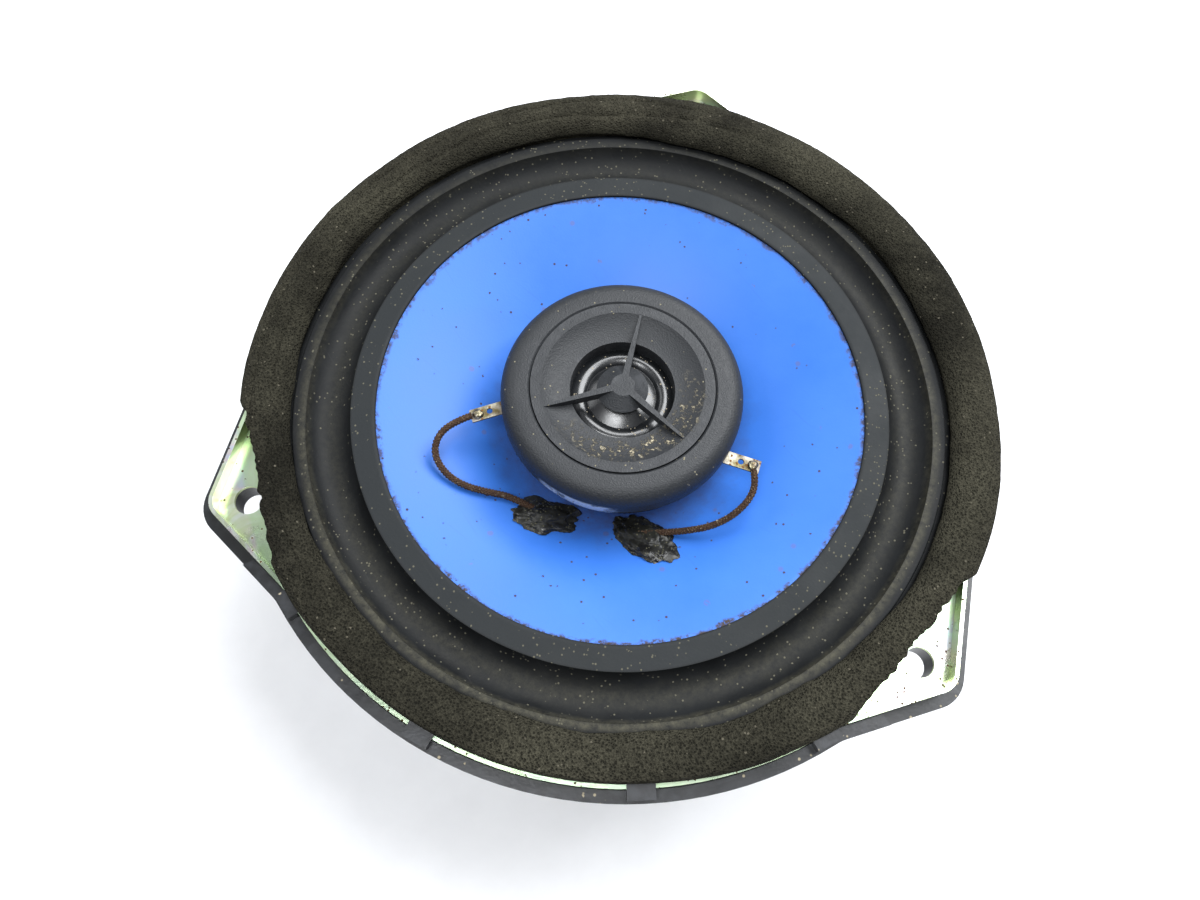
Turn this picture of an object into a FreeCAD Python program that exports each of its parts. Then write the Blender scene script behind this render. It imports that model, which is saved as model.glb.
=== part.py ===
import FreeCAD, Part
import math
import os
import re
import Sketcher

# A two-way coaxial car loudspeaker.  +Z points at the listener, the origin is the centre of the
# mounting face (the rear face of the plastic spacer ring) and one mounting ear points along +Y.
# Lengths are in millimetres and angles in degrees.

SIZES = [
    # shared by the whole driver
    ("fit_gap", 0.05, "radial play of a pin, rivet or screw in its hole"),
    ("rim_gap", 0.2, "play between the steel rim and the plastic around it"),
    ("hole_offset", 1.72, "mounting holes outside the rim's radius"),
    ("mount_hole_radius", 2.9, "mounting hole in an ear"),
    ("ear_count", 3, "mounting ears around the flange"),
    ("sheet_thickness", 0.8, "steel of the basket"),
    # flange of the basket
    ("rim_radius", 76.33, "outside of the upturned rim"),
    ("rim_lip", 3.2, "height of the upturned rim above the tray"),
    ("ear_inset", 2.23, "ears' straight sides inside the rim's radius"),
    ("ear_corner", 4.6, "corner radius at the tip of an ear"),
    ("ear_blend", 12, "hollow radius between an ear and the round rim"),
    ("ear_half_angle", 30, "angle of the normals of an ear's sides from its axis"),
    # bowl of the basket
    ("tray_width", 10.93, "tray from the rim's outside to the mouth"),
    ("bowl_top_depth", 1, "depth of that place below the mounting face"),
    ("shelf_outer_radius", 40.5, "outside of the spider shelf"),
    ("shelf_width", 7, "width of the spider shelf"),
    ("shelf_depth", 14.3, "spider shelf below the mounting face"),
    ("shelf_rise", 1.8, "upstand around the spider shelf"),
    ("floor_depth", 27, "basket floor below the mounting face"),
    ("window_count", 6, "windows between the arms"),
    ("window_half_angle", 19, "half of a window's angle"),
    # terminal tab of the basket and the terminal board
    ("tab_half_width", 6.5, "half the width of the steel tab"),
    ("tab_reach", 52.4, "outer end of the steel tab"),
    ("board_half_width", 13, "half the width of the terminal board"),
    ("board_inner", 44, "inner edge of the board"),
    ("board_outer", 58, "outer edge of the board"),
    ("board_thickness", 1.6, "thickness of the board"),
    ("board_rivet_x", 4, "board rivet from the middle"),
    ("board_rivet_y", 49, "board rivets from the speaker's centre"),
    ("small_rivet_radius", 1.2, "shank of the small rivets"),
    ("small_rivet_head", 2.1, "head radius of the small rivets"),
    ("small_rivet_head_height", 0.6, "head height of the small rivets"),
    ("blade_x", 8, "blade terminal from the middle"),
    ("blade_thickness", 0.8, "thickness of a blade"),
    ("blade_wide", 4.8, "width of the positive blade"),
    ("blade_narrow", 2.8, "width of the negative blade"),
    ("blade_foot", 53, "inner end of a blade"),
    ("blade_reach", 64, "outer end of a blade"),
    ("blade_rivet_y", 55.4, "blade rivets from the speaker's centre"),
    # spacer ring
    ("spacer_height", 4.7, "thickness of the spacer under the steel"),
    ("spacer_margin", 2.5, "how far the spacer stands out past the rim"),
    ("fence_height", 2.7, "height of the fence sections above the spacer"),
    ("clip_height", 5, "height of a snap clip above the spacer"),
    ("clip_width", 5.2, "width of a snap clip"),
    ("clip_hook", 0.9, "how far a clip reaches in over the rim"),
    ("clip_angle_inner", 15.5, "inner clips from the middle of a fence section"),
    ("long_clip_angle", 41.8, "outer clips of the long section from its middle"),
    ("short_clip_angle", 35, "outer clips of the short sections from their middle"),
    ("long_fence_half_angle", 50.5, "half angle of the fence section opposite the +Y ear"),
    ("short_fence_half_angle", 42.8, "half angle of the other fence sections"),
    ("short_fence_centre", 36.5, "middle of the +X fence section"),
    # foam gasket
    ("foam_play", 0.33, "play between the foam and the steel rim"),
    ("foam_overhang", 1.87, "foam past the rim"),
    ("foam_height", 6.6, "foam above the tray"),
    ("foam_lip", 1.1, "thickness of the foam's outer edge"),
    ("foam_inner_height", 3.4, "height of the foam's inner wall"),
    ("foam_crown", 6, "radius of the foam's rounded top"),
    ("foam_ear_half_width", 17, "half the width of the foam's ear opening"),
    # magnet system
    ("plate_radius", 33, "front plate and back plate"),
    ("plate_thickness", 5, "front plate and back plate"),
    ("coil_gap", 0.5, "play between the winding and the front plate"),
    ("pole_gap", 0.45, "play between the pole and the bobbin"),
    ("pole_relief", 0.6, "chamfer of the pole's edge"),
    ("magnet_radius", 36, "ferrite ring"),
    ("magnet_thickness", 12.2, "ferrite ring"),
    ("steel_chamfer", 0.8, "edge chamfer of the plates"),
    ("magnet_chamfer", 1.4, "edge chamfer of the ferrite"),
    ("rivet_count", 4, "rivets between basket and front plate"),
    ("rivet_radius", 1.9, "their shank"),
    ("rivet_head_radius", 3.2, "their head"),
    ("rivet_head_height", 1.1, "their head"),
    ("rivet_depth", 3.4, "how far they go into the front plate"),
    ("screw_radius", 2, "long screw through the pole and the post"),
    ("screw_head_radius", 3.7, "its head"),
    ("screw_head_height", 2.4, "its head"),
    # moving system of the woofer
    ("former_inner_radius", 12.75, "bobbin of the voice coil"),
    ("former_wall", 0.25, "bobbin of the voice coil"),
    ("former_overlap", 0.6, "bobbin standing up inside the cone's neck"),
    ("winding_build", 0.7, "depth of the winding"),
    ("winding_height", 10, "height of the winding"),
    ("lip_width", 4.95, "lip glued to the cone"),
    ("cone_neck_depth", 10.7, "top of the cone's neck below the mounting face"),
    ("cone_thickness", 0.6, "wall of the cone"),
    ("cone_flare", 150, "radius of the cone's curved flank"),
    ("cone_neck_length", 1.6, "cylinder at the neck"),
    ("cone_flange_width", 4.2, "flat ring that the surround is glued to"),
    ("lip_thickness", 0.56, "surround over the cone's flange"),
    ("roll_radius", 4.75, "upper side of the surround's hollow roll"),
    ("roll_lift", 1.36, "centre of the roll's arc above the bead"),
    ("rubber_thickness", 0.6, "wall of the roll"),
    ("bead_width", 2.6, "width of the surround's bead"),
    ("bead_height", 2.04, "bead above the tray"),
    ("bead_chamfer", 0.5, "edge of the bead"),
    ("spider_thickness", 0.5, "cloth of the spider"),
    ("spider_collar", 1.3, "height of the spider's glued collar"),
    ("spider_collar_wall", 0.5, "wall of the collar"),
    # glue anchors on the cone
    ("anchor_radius_long", 6.4, "anchor along the cone"),
    ("anchor_radius_wide", 4, "anchor across"),
    ("anchor_radius_high", 2.6, "anchor's height"),
    ("anchor_lift", 0.3, "centre of an anchor above the cone"),
    # tweeter
    ("face_height", 14.4, "tweeter face above the mounting face"),
    ("bezel_radius", 25, "outside of the tweeter"),
    ("bezel_round", 3.6, "rounded edge of the bezel"),
    ("bezel_bottom", 8, "joint between bezel and housing"),
    ("bezel_ledge_top", 9.4, "top of that ledge"),
    ("bezel_edge", 0.4, "small chamfer at the bezel's hole"),
    ("bezel_width", 6.2, "width of the bezel"),
    ("dish_arc", 12, "radius of the dish's hollow"),
    ("throat_height", 12.4, "edge of the throat"),
    ("plug_top_radius", 2.4, "flat top of the phase plug"),
    ("plug_radius", 5.3, "phase plug"),
    ("fin_root", 1.5, "width of a fin at the hub"),
    ("fin_tip", 0.5, "width of a fin at its end"),
    ("fin_start", 1.2, "inner end of a fin"),
    ("housing_wall", 1.3, "tweeter housing"),
    ("housing_shoulder", 4.6, "where the housing's side turns in"),
    ("housing_floor_radius", 13, "flat bottom of the housing"),
    ("housing_floor_depth", 4.2, "bottom of the housing below the mounting face"),
    ("housing_floor_thickness", 1.8, "bottom of the housing"),
    ("boss_radius", 4.4, "screw boss in the housing"),
    ("boss_height", 3, "screw boss in the housing"),
    ("post_radius", 6, "post between pole and tweeter"),
    ("post_foot_radius", 9, "foot of the post"),
    ("post_foot_height", 2, "foot of the post"),
    ("post_head_radius", 8.5, "head of the post"),
    ("dome_radius", 7.2, "dome of the tweeter"),
    ("dome_curve", 2.0833, "radius of the dome's curve as a share of its own radius"),
    ("film_thickness", 0.2, "diaphragm film"),
    ("film_roll_radius", 1.8, "roll of the diaphragm"),
    ("small_coil_height", 2.7, "tweeter coil"),
    ("pot_wall", 2.05, "wall of the tweeter magnet pot"),
    ("pot_top", 8, "top of the pot and of its pole washer"),
    ("pot_floor", 1.6, "floor of the pot"),
    ("washer_thickness", 1.5, "pole washer of the tweeter"),
    ("disc_thickness", 3.4, "neodymium disc"),
    ("carrier_flange", 1.4, "thickness of that flange"),
    ("capacitor_radius", 1.9, "crossover capacitor"),
    ("capacitor_length", 11, "crossover capacitor"),
    ("capacitor_level", 4.9, "height of the capacitor"),
    # solder tabs, solder and leads
    ("lug_width", 2.8, "solder tab"),
    ("lug_thickness", 0.5, "solder tab"),
    ("lug_inside", 4.2, "length of a solder tab inside the bezel"),
    ("lug_hole_radius", 0.6, "hole near the end of a solder tab"),
    ("lug_hole_inset", 2.6, "that hole from the tab's end"),
    ("lug_root", 0.27, "solder tabs' outer root past the bezel"),
    ("solder_inset", 1.5, "middle of the solder from the tab's end"),
    ("left_lug_place", 199.65, "place of the left solder tab around the bezel"),
    ("left_lug_angle", 212, "direction of the left solder tab"),
    ("left_lug_length", 6.3, "left solder tab"),
    ("right_lug_place", -18.15, "place of the right solder tab around the bezel"),
    ("right_lug_angle", -5, "direction of the right solder tab"),
    ("right_lug_length", 6.8, "right solder tab"),
    ("solder_radius", 1.5, "solder joint"),
    ("solder_height", 1.1, "solder joint"),
    ("lead_radius", 0.7, "braided lead"),
    # margins and plays between the parts
    ("bowl_top_inset", 1.4, "top of the bowl inside the mouth"),
    ("window_margin", 3.5, "steel left above and below a window"),
    ("floor_inset", 2, "floor inside the shelf's inner edge"),
    ("spacer_play", 0.6, "play between the spacer and the bowl"),
    ("floor_hole_play", 1.8, "floor's hole past the magnet gap"),
    ("magnet_hole_play", 2.8, "ferrite's hole past the magnet gap"),
    ("rivet_inset", 6.5, "rivets inside the floor's edge"),
    ("foam_inner_gap", 1.3, "foam's inner wall outside the surround's bead"),
    ("foam_slope_width", 4.1, "width of the foam's inner slope"),
    ("foam_hole_margin", 0.85, "foam's ear opening past the mounting hole"),
    ("roll_overlap", 0.05, "roll's end outside the mouth"),
    ("spider_inset", 1.9, "spider inside the shelf's outer edge"),
    ("spider_flat", 3, "flat ring around the spider's collar"),
    ("spider_fold_arc", 0.657, "radius of a fold as a share of its width"),
    ("housing_inset", 0.8, "housing inside the bezel's outside"),
    ("plate_gap", 0.15, "fine gap around the faceplate"),
    ("bezel_ledge_width", 2.8, "ledge under the faceplate"),
    ("plate_skirt_wall", 1.6, "skirt of the faceplate"),
    ("dish_margin", 2.1, "flat ring around the dish"),
    ("fin_margin", 0.1, "tip of a fin inside the dish's edge"),
    ("carrier_play", 0.2, "play between the carrier and the ledge"),
    ("film_roll_width", 3.5, "width of the diaphragm's roll"),
    ("film_rim_width", 1.9, "clamped rim of the diaphragm"),
    ("throat_play", 0.1, "throat outside the roll"),
    ("clamp_margin", 0.4, "clamping ring past the diaphragm"),
    ("tube_play", 0.3, "carrier's tube outside the diaphragm"),
    ("carrier_tube_wall", 1.4, "wall of the carrier's tube"),
    ("capacitor_gap", 0.5, "capacitor outside the carrier's tube"),
    ("small_coil_inset", 0.05, "small coil inside the dome's edge"),
    ("small_coil_build", 0.4, "windings of the small coil"),
    ("small_gap", 0.3, "gap outside the small coil"),
    ("small_gap_inside", 0.25, "gap inside the small coil"),
    ("disc_inset", 0.3, "magnet disc inside its washer"),
    ("diaphragm_lift", 0.6, "diaphragm above the pot"),
    ("plug_thickness", 1, "thickness of the phase plug's shoulder"),
    ("plug_shoulder_lift", 0.1, "plug's shoulder above the throat's edge"),
    ("plate_wall", 1.4, "faceplate at the throat"),
    ("fin_drop", 0.4, "fins below the throat's edge"),
    ("screw_recess_play", 0.5, "recess around the screw's head"),
    ("screw_recess_margin", 0.6, "recess deeper than the screw's head"),
]

# What fits, seats on or lines up with another piece follows that piece.
FITS = {
    "hole_circle_radius": "rim_radius + hole_offset",
    "ear_flat": "rim_radius - ear_inset",
    "mouth_radius": "rim_radius - tray_width",
    "bowl_top_radius": "mouth_radius - bowl_top_inset",
    "window_outer_radius": "bowl_top_radius - window_margin",
    "window_inner_radius": "shelf_outer_radius + window_margin",
    "shelf_inner_radius": "shelf_outer_radius - shelf_width",
    "floor_radius": "shelf_inner_radius - floor_inset",
    "spacer_inner_radius": "mouth_radius + sheet_thickness + spacer_play",
    "floor_hole_radius": "gap_outer_radius + floor_hole_play",
    "gap_outer_radius": "former_inner_radius + former_wall + winding_build + coil_gap",
    "pole_radius": "former_inner_radius - pole_gap",
    "magnet_hole_radius": "gap_outer_radius + magnet_hole_play",
    "rivet_circle_radius": "floor_radius - rivet_inset",
    "foam_inner_radius": "bead_outer_radius + foam_inner_gap",
    "foam_seat_radius": "rim_radius - sheet_thickness - foam_play",
    "foam_outer_radius": "rim_radius + foam_overhang",
    "foam_crest_radius": "foam_inner_radius + foam_slope_width",
    "foam_ear_edge": "hole_circle_radius - mount_hole_radius - foam_hole_margin",
    "tray_height": "spacer_height + sheet_thickness",
    "bead_outer_radius": "mouth_radius + bead_width",
    "cone_edge_height": "tray_height + bead_height",
    "roll_centre_height": "cone_edge_height + roll_lift",
    "roll_centre_radius": "mouth_radius - roll_radius + roll_overlap",
    "cone_edge_radius": "roll_centre_radius - roll_radius - lip_width",
    "spider_outer_radius": "shelf_outer_radius - spider_inset",
    "spider_wave_start": "former_inner_radius + former_wall + spider_flat",
    "spider_wave_pitch": "(shelf_inner_radius - spider_wave_start) / 10",
    "spider_wave_arc": "spider_wave_pitch * spider_fold_arc",
    "housing_rim_radius": "bezel_radius - housing_inset",
    "plate_face_radius": "bezel_radius - bezel_width",
    "bezel_inner_radius": "plate_face_radius + plate_gap",
    "bezel_ledge_radius": "plate_face_radius - bezel_ledge_width",
    "plate_skirt_inner": "plate_face_radius - plate_skirt_wall",
    "dish_radius": "plate_face_radius - dish_margin",
    "fin_reach": "dish_radius - fin_margin",
    "carrier_outer_radius": "bezel_ledge_radius - carrier_play",
    "film_roll_end": "dome_radius + film_roll_width",
    "film_outer_radius": "film_roll_end + film_rim_width",
    "throat_radius": "film_roll_end + throat_play",
    "clamp_outer_radius": "film_outer_radius + clamp_margin",
    "carrier_tube_inner": "film_outer_radius + tube_play",
    "carrier_tube_outer": "carrier_tube_inner + carrier_tube_wall",
    "capacitor_orbit": "carrier_tube_outer + capacitor_radius + capacitor_gap",
    "dome_arc": "dome_radius * dome_curve",
    "small_coil_outer": "dome_radius - small_coil_inset",
    "small_coil_inner": "small_coil_outer - small_coil_build",
    "pot_inner_radius": "small_coil_outer + small_gap",
    "pot_outer_radius": "pot_inner_radius + pot_wall",
    "washer_radius": "small_coil_inner - small_gap_inside",
    "disc_radius": "washer_radius - disc_inset",
    "diaphragm_height": "pot_top + diaphragm_lift",
    "plug_underside": "throat_height - plug_thickness",
    "plug_shoulder": "throat_height + plug_shoulder_lift",
    "plate_underside": "throat_height - plate_wall",
    "fin_underside": "throat_height - fin_drop",
    "screw_recess_radius": "screw_head_radius + screw_recess_play",
    "screw_recess_depth": "screw_head_height + screw_recess_margin",
    "left_lug_x": "(bezel_radius + lug_root) * cos(left_lug_place)",
    "left_lug_y": "(bezel_radius + lug_root) * sin(left_lug_place)",
    "right_lug_x": "(bezel_radius + lug_root) * cos(right_lug_place)",
    "right_lug_y": "(bezel_radius + lug_root) * sin(right_lug_place)",
}

doc = FreeCAD.newDocument("CoaxialSpeaker")
sheet = doc.addObject("Spreadsheet::Sheet", "Sizes")
for row, (alias, size, note) in enumerate(SIZES, start=1):
    sheet.set(f"A{row}", note)
    sheet.set(f"B{row}", str(size))
    sheet.setAlias(f"B{row}", alias)
doc.recompute()
ALIASES = {alias for alias, size, note in SIZES}


def bound(text):
    """The expression with every size's name pointing at the sheet."""
    def replaced(word):
        if word[0] in FITS:
            return f"({bound(FITS[word[0]])})"
        return "Sizes." + word[0] if word[0] in ALIASES else word[0]
    return re.sub(r"[a-z_]+", replaced, text)


def value(text):
    return float(sheet.evalExpression(bound(text)))


def new_body(name):
    body = doc.addObject("PartDesign::Body", name)
    body.Label = name
    return body


def origin_part(body, role):
    return next(item for item in body.Origin.OriginFeatures if item.Role == role)


def new_sketch(body, name, plane="XY_Plane", level="0"):
    sketch = body.newObject("Sketcher::SketchObject", name)
    sketch.AttachmentSupport = (origin_part(body, plane), [""])
    sketch.MapMode = "FlatFace"
    sketch.setExpression(".AttachmentOffset.Base.z", bound(level))
    return sketch


def arc_between(start, end, radius):
    """An arc of under half a turn; a positive radius turns left from start to end."""
    middle = (start + end) * 0.5
    half = (end - start) * 0.5
    left = FreeCAD.Vector(-half.y, half.x, 0).normalize()
    rise = (radius * radius - half.Length * half.Length) ** 0.5
    centre = middle + left * (rise if radius > 0 else -rise)
    first, last = (start, end) if radius > 0 else (end, start)
    circle = Part.Circle(centre, FreeCAD.Vector(0, 0, 1), abs(radius))
    return Part.ArcOfCircle(circle, circle.parameter(first), circle.parameter(last))


def draw_outline(sketch, corners):
    """A closed outline; a corner is (x, y), or (x, y, radius) where an arc leaves it."""
    points = [FreeCAD.Vector(value(corner[0]), value(corner[1]), 0) for corner in corners]
    ends = []
    for index, corner in enumerate(corners):
        start = points[index]
        end = points[(index + 1) % len(points)]
        if len(corner) == 3:
            turn = value(corner[2])
            edge = sketch.addGeometry(arc_between(start, end, turn), False)
            ends.append((edge, 1, 2) if turn > 0 else (edge, 2, 1))
        else:
            edge = sketch.addGeometry(Part.LineSegment(start, end), False)
            ends.append((edge, 1, 2))
    for index, corner in enumerate(corners):
        edge, first, last = ends[index]
        following = ends[(index + 1) % len(ends)]
        sketch.addConstraint(Sketcher.Constraint("Coincident", edge, last, following[0], following[1]))
        for kind, text in (("DistanceX", corner[0]), ("DistanceY", corner[1])):
            number = sketch.addConstraint(Sketcher.Constraint(kind, edge, first, value(text)))
            sketch.setExpression(f"Constraints[{number}]", bound(text))
        if len(corner) == 3:
            number = sketch.addConstraint(Sketcher.Constraint("Radius", edge, abs(value(corner[2]))))
            sketch.setExpression(f"Constraints[{number}]", bound(f"abs({corner[2]})"))


def draw_circle(sketch, x, y, radius):
    centre = FreeCAD.Vector(value(x), value(y), 0)
    circle = sketch.addGeometry(Part.Circle(centre, FreeCAD.Vector(0, 0, 1), value(radius)), False)
    for kind, text in (("DistanceX", x), ("DistanceY", y)):
        number = sketch.addConstraint(Sketcher.Constraint(kind, circle, 3, value(text)))
        sketch.setExpression(f"Constraints[{number}]", bound(text))
    number = sketch.addConstraint(Sketcher.Constraint("Radius", circle, value(radius)))
    sketch.setExpression(f"Constraints[{number}]", bound(radius))


def turned(body, kind, name, corners):
    """A revolution or a groove about Z of a profile given as (radius, height) corners."""
    sketch = new_sketch(body, name + "_profile", "XZ_Plane")
    draw_outline(sketch, corners)
    feature = body.newObject("PartDesign::" + kind, name)
    feature.Profile = sketch
    feature.ReferenceAxis = (sketch, ["V_Axis"])
    feature.Angle = 360
    sketch.Visibility = False
    return feature


def revolve(body, name, corners):
    return turned(body, "Revolution", name, corners)


def groove(body, name, corners):
    return turned(body, "Groove", name, corners)


def raised(body, kind, name, sketch, length, reverse=False):
    feature = body.newObject("PartDesign::" + kind, name)
    feature.Profile = sketch
    feature.setExpression("Length", bound(length))
    feature.Reversed = reverse
    return feature


def pad(body, name, sketch, length):
    """Material upwards from the sketch."""
    return raised(body, "Pad", name, sketch, length)


def pocket(body, name, sketch, length):
    """A cut downwards from the sketch."""
    return raised(body, "Pocket", name, sketch, length)


def around(body, name, feature, count):
    """Copies of a feature spread evenly about Z."""
    pattern = body.newObject("PartDesign::PolarPattern", name)
    pattern.Originals = [feature]
    pattern.Axis = (origin_part(body, "Z_Axis"), [""])
    pattern.Angle = 360
    pattern.setExpression("Occurrences", bound(count))
    body.Tip = pattern
    return pattern


def rotated(x, y, angle, along, across):
    """Corner at (along, across) in axes turned by angle at (x, y)."""
    return (f"{x} + ({along}) * cos({angle}) - ({across}) * sin({angle})",
            f"{y} + ({along}) * sin({angle}) + ({across}) * cos({angle})")


def rectangle(x, y, angle, start, end, half_width):
    return [rotated(x, y, angle, start, f"-({half_width})"), rotated(x, y, angle, end, f"-({half_width})"),
            rotated(x, y, angle, end, half_width), rotated(x, y, angle, start, half_width)]


def sector(centre, half_angle, inner, outer):
    """A piece of a ring between two radii."""
    low, high = f"({centre}) - ({half_angle})", f"({centre}) + ({half_angle})"
    return [(f"({inner}) * cos({low})", f"({inner}) * sin({low})"),
            (f"({outer}) * cos({low})", f"({outer}) * sin({low})", outer),
            (f"({outer}) * cos({high})", f"({outer}) * sin({high})"),
            (f"({inner}) * cos({high})", f"({inner}) * sin({high})", f"-({inner})")]


def flange_outline(sketch, margin):
    """The round rim with its three ears, moved outwards by margin."""
    radius = f"(rim_radius + {margin})"
    flat = f"(ear_flat + {margin})"
    corner = f"(ear_corner + {margin})"
    blend = f"(ear_blend - ({margin}))"
    along = f"sqrt(({radius} + {blend})^2 - ({flat} + {blend})^2)"
    tip = f"(({flat} - {corner}) * tan(ear_half_angle))"
    corners = []
    for ear in range(3):
        axis = 90 + 120 * ear
        for side in (-1, 1):
            normal = f"({axis} + {side} * ear_half_angle)"
            reach = f"({-side})"
            hollow_x = f"(({flat} + {blend}) * cos({normal}) - {reach} * {along} * sin({normal}))"
            hollow_y = f"(({flat} + {blend}) * sin({normal}) + {reach} * {along} * cos({normal}))"
            share = f"({radius} / ({radius} + {blend}))"
            on_rim = (f"{hollow_x} * {share}", f"{hollow_y} * {share}")
            on_flat = (f"{flat} * cos({normal}) - {reach} * {along} * sin({normal})",
                       f"{flat} * sin({normal}) + {reach} * {along} * cos({normal})")
            at_tip = (f"{flat} * cos({normal}) - {reach} * {tip} * sin({normal})",
                      f"{flat} * sin({normal}) + {reach} * {tip} * cos({normal})")
            if side < 0:
                corners += [(*on_rim, f"-{blend}"), on_flat, (*at_tip, corner)]
            else:
                corners += [at_tip, (*on_flat, f"-{blend}"), (*on_rim, radius)]
    draw_outline(sketch, corners)


def basket():
    body = new_body("basket")
    blank = new_sketch(body, "flange_outline", level="spacer_height")
    flange_outline(blank, "0")
    pad(body, "flange_blank", blank, "sheet_thickness + rim_lip")
    inside = new_sketch(body, "tray_outline", level="spacer_height + sheet_thickness + rim_lip")
    flange_outline(inside, "(0 - sheet_thickness)")
    pocket(body, "tray", inside, "rim_lip")
    mouth = new_sketch(body, "mouth_circle", level="spacer_height + sheet_thickness")
    draw_circle(mouth, "0", "0", "mouth_radius")
    pocket(body, "mouth", mouth, "2 * sheet_thickness")
    revolve(body, "bowl", [
        ("mouth_radius", "spacer_height + sheet_thickness"),
        ("bowl_top_radius", "-bowl_top_depth"),
        ("shelf_outer_radius", "-shelf_depth + shelf_rise"),
        ("shelf_outer_radius - sheet_thickness", "-shelf_depth"),
        ("shelf_inner_radius", "-shelf_depth"),
        ("floor_radius", "-floor_depth"),
        ("floor_hole_radius", "-floor_depth"),
        ("floor_hole_radius", "-floor_depth - sheet_thickness"),
        ("floor_radius + sheet_thickness", "-floor_depth - sheet_thickness"),
        ("shelf_inner_radius + sheet_thickness", "-shelf_depth - sheet_thickness"),
        ("shelf_outer_radius", "-shelf_depth - sheet_thickness"),
        ("shelf_outer_radius + sheet_thickness", "-shelf_depth + shelf_rise - sheet_thickness"),
        ("bowl_top_radius + sheet_thickness", "-bowl_top_depth - sheet_thickness"),
        ("mouth_radius + sheet_thickness", "spacer_height")])
    tab = new_sketch(body, "terminal_tab_outline", level="-shelf_depth - sheet_thickness")
    draw_outline(tab, rectangle("0", "0", "-90", "shelf_outer_radius - sheet_thickness", "tab_reach",
                                "tab_half_width"))
    pad(body, "terminal_tab", tab, "sheet_thickness")
    hole = new_sketch(body, "ear_hole_circle", level="spacer_height + sheet_thickness")
    draw_circle(hole, "0", "hole_circle_radius", "mount_hole_radius")
    around(body, "ear_holes", pocket(body, "ear_hole", hole, "2 * sheet_thickness"), "ear_count")
    window = new_sketch(body, "window_outline", level="0")
    draw_outline(window, sector("0", "window_half_angle", "window_inner_radius", "window_outer_radius"))
    around(body, "windows", pocket(body, "window", window, "shelf_depth"), "window_count")
    rivet = new_sketch(body, "rivet_hole_circle", level="-floor_depth")
    draw_circle(rivet, "rivet_circle_radius", "0", "rivet_radius + fit_gap")
    around(body, "rivet_holes", pocket(body, "rivet_hole", rivet, "sheet_thickness"), "rivet_count")
    for side in (-1, 1):
        small = new_sketch(body, "tab_hole_circle", level="-shelf_depth")
        draw_circle(small, f"{side} * board_rivet_x", "-board_rivet_y", "small_rivet_radius + fit_gap")
        pocket(body, "tab_hole", small, "sheet_thickness")
    return body


def spacer_ring():
    """Plastic ring under the flange, with fence sections and snap clips around the steel rim."""
    body = new_body("spacer_ring")
    outline = new_sketch(body, "ring_outline")
    flange_outline(outline, "spacer_margin")
    pad(body, "ring", outline, "spacer_height")
    opening = new_sketch(body, "opening_circle", level="spacer_height")
    draw_circle(opening, "0", "0", "spacer_inner_radius")
    pocket(body, "opening", opening, "spacer_height")
    hole = new_sketch(body, "screw_hole_circle", level="spacer_height")
    draw_circle(hole, "0", "hole_circle_radius", "mount_hole_radius")
    around(body, "screw_holes", pocket(body, "screw_hole", hole, "spacer_height"), "ear_count")
    fence = new_sketch(body, "fence_outline", level="spacer_height")
    flange_outline(fence, "spacer_margin")
    pad(body, "fence", fence, "fence_height")
    room = new_sketch(body, "rim_room_outline", level="spacer_height + fence_height")
    flange_outline(room, "rim_gap")
    pocket(body, "rim_room", room, "fence_height")
    long_end = "(90 - long_fence_half_angle)"
    short_end = "(short_fence_half_angle - short_fence_centre)"
    ear_gaps = (("90", "90 - short_fence_centre - short_fence_half_angle"),
                (f"0 - ({long_end} - (0 - {short_end})) / 2", f"({long_end} - {short_end}) / 2"),
                (f"180 + ({long_end} + {short_end}) / 2", f"({long_end} - {short_end}) / 2"))
    for centre, half_angle in ear_gaps:
        gap = new_sketch(body, "ear_gap_outline", level="spacer_height + fence_height")
        draw_outline(gap, sector(centre, half_angle, "spacer_inner_radius", "hole_circle_radius + 15"))
        pocket(body, "ear_gap", gap, "fence_height")
    inner = "rim_radius + rim_gap"
    for centre, outer_clip in (("-90", "long_clip_angle"), ("short_fence_centre", "short_clip_angle"),
                               ("180 - short_fence_centre", "short_clip_angle")):
        for offset in (f"-{outer_clip}", "-clip_angle_inner", "clip_angle_inner", outer_clip):
            angle = f"({centre} + {offset})"
            upright = new_sketch(body, "clip_upright", level="spacer_height")
            draw_outline(upright, rectangle("0", "0", angle, inner, "rim_radius + spacer_margin - 0.6",
                                            "clip_width / 2"))
            pad(body, "clip", upright, "clip_height")
            hook = new_sketch(body, "clip_hook", level="spacer_height + sheet_thickness + rim_lip + rim_gap")
            draw_outline(hook, rectangle("0", "0", angle, "rim_radius - clip_hook", "rim_radius + 1",
                                         "clip_width / 2"))
            pad(body, "hook", hook, "clip_height - sheet_thickness - rim_lip - rim_gap")
    return body


def foam_gasket():
    body = new_body("foam_gasket")
    tray = "spacer_height + sheet_thickness"
    ledge = f"{tray} + foam_height - foam_lip - 1.2"
    revolve(body, "foam", [
        ("foam_inner_radius", tray),
        ("foam_seat_radius", tray),
        ("foam_seat_radius", ledge),
        ("foam_outer_radius", ledge),
        ("foam_outer_radius", f"{ledge} + foam_lip", "foam_crown"),
        ("foam_crest_radius", f"{tray} + foam_height", "foam_crown"),
        ("foam_inner_radius", f"{tray} + foam_inner_height")])
    ear = new_sketch(body, "ear_opening_outline", level=f"{tray} + foam_height")
    draw_outline(ear, rectangle("0", "0", "90", "foam_ear_edge", "foam_outer_radius + 2",
                                "foam_ear_half_width"))
    around(body, "ear_openings", pocket(body, "ear_opening", ear, "foam_height"), "ear_count")
    return body


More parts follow.
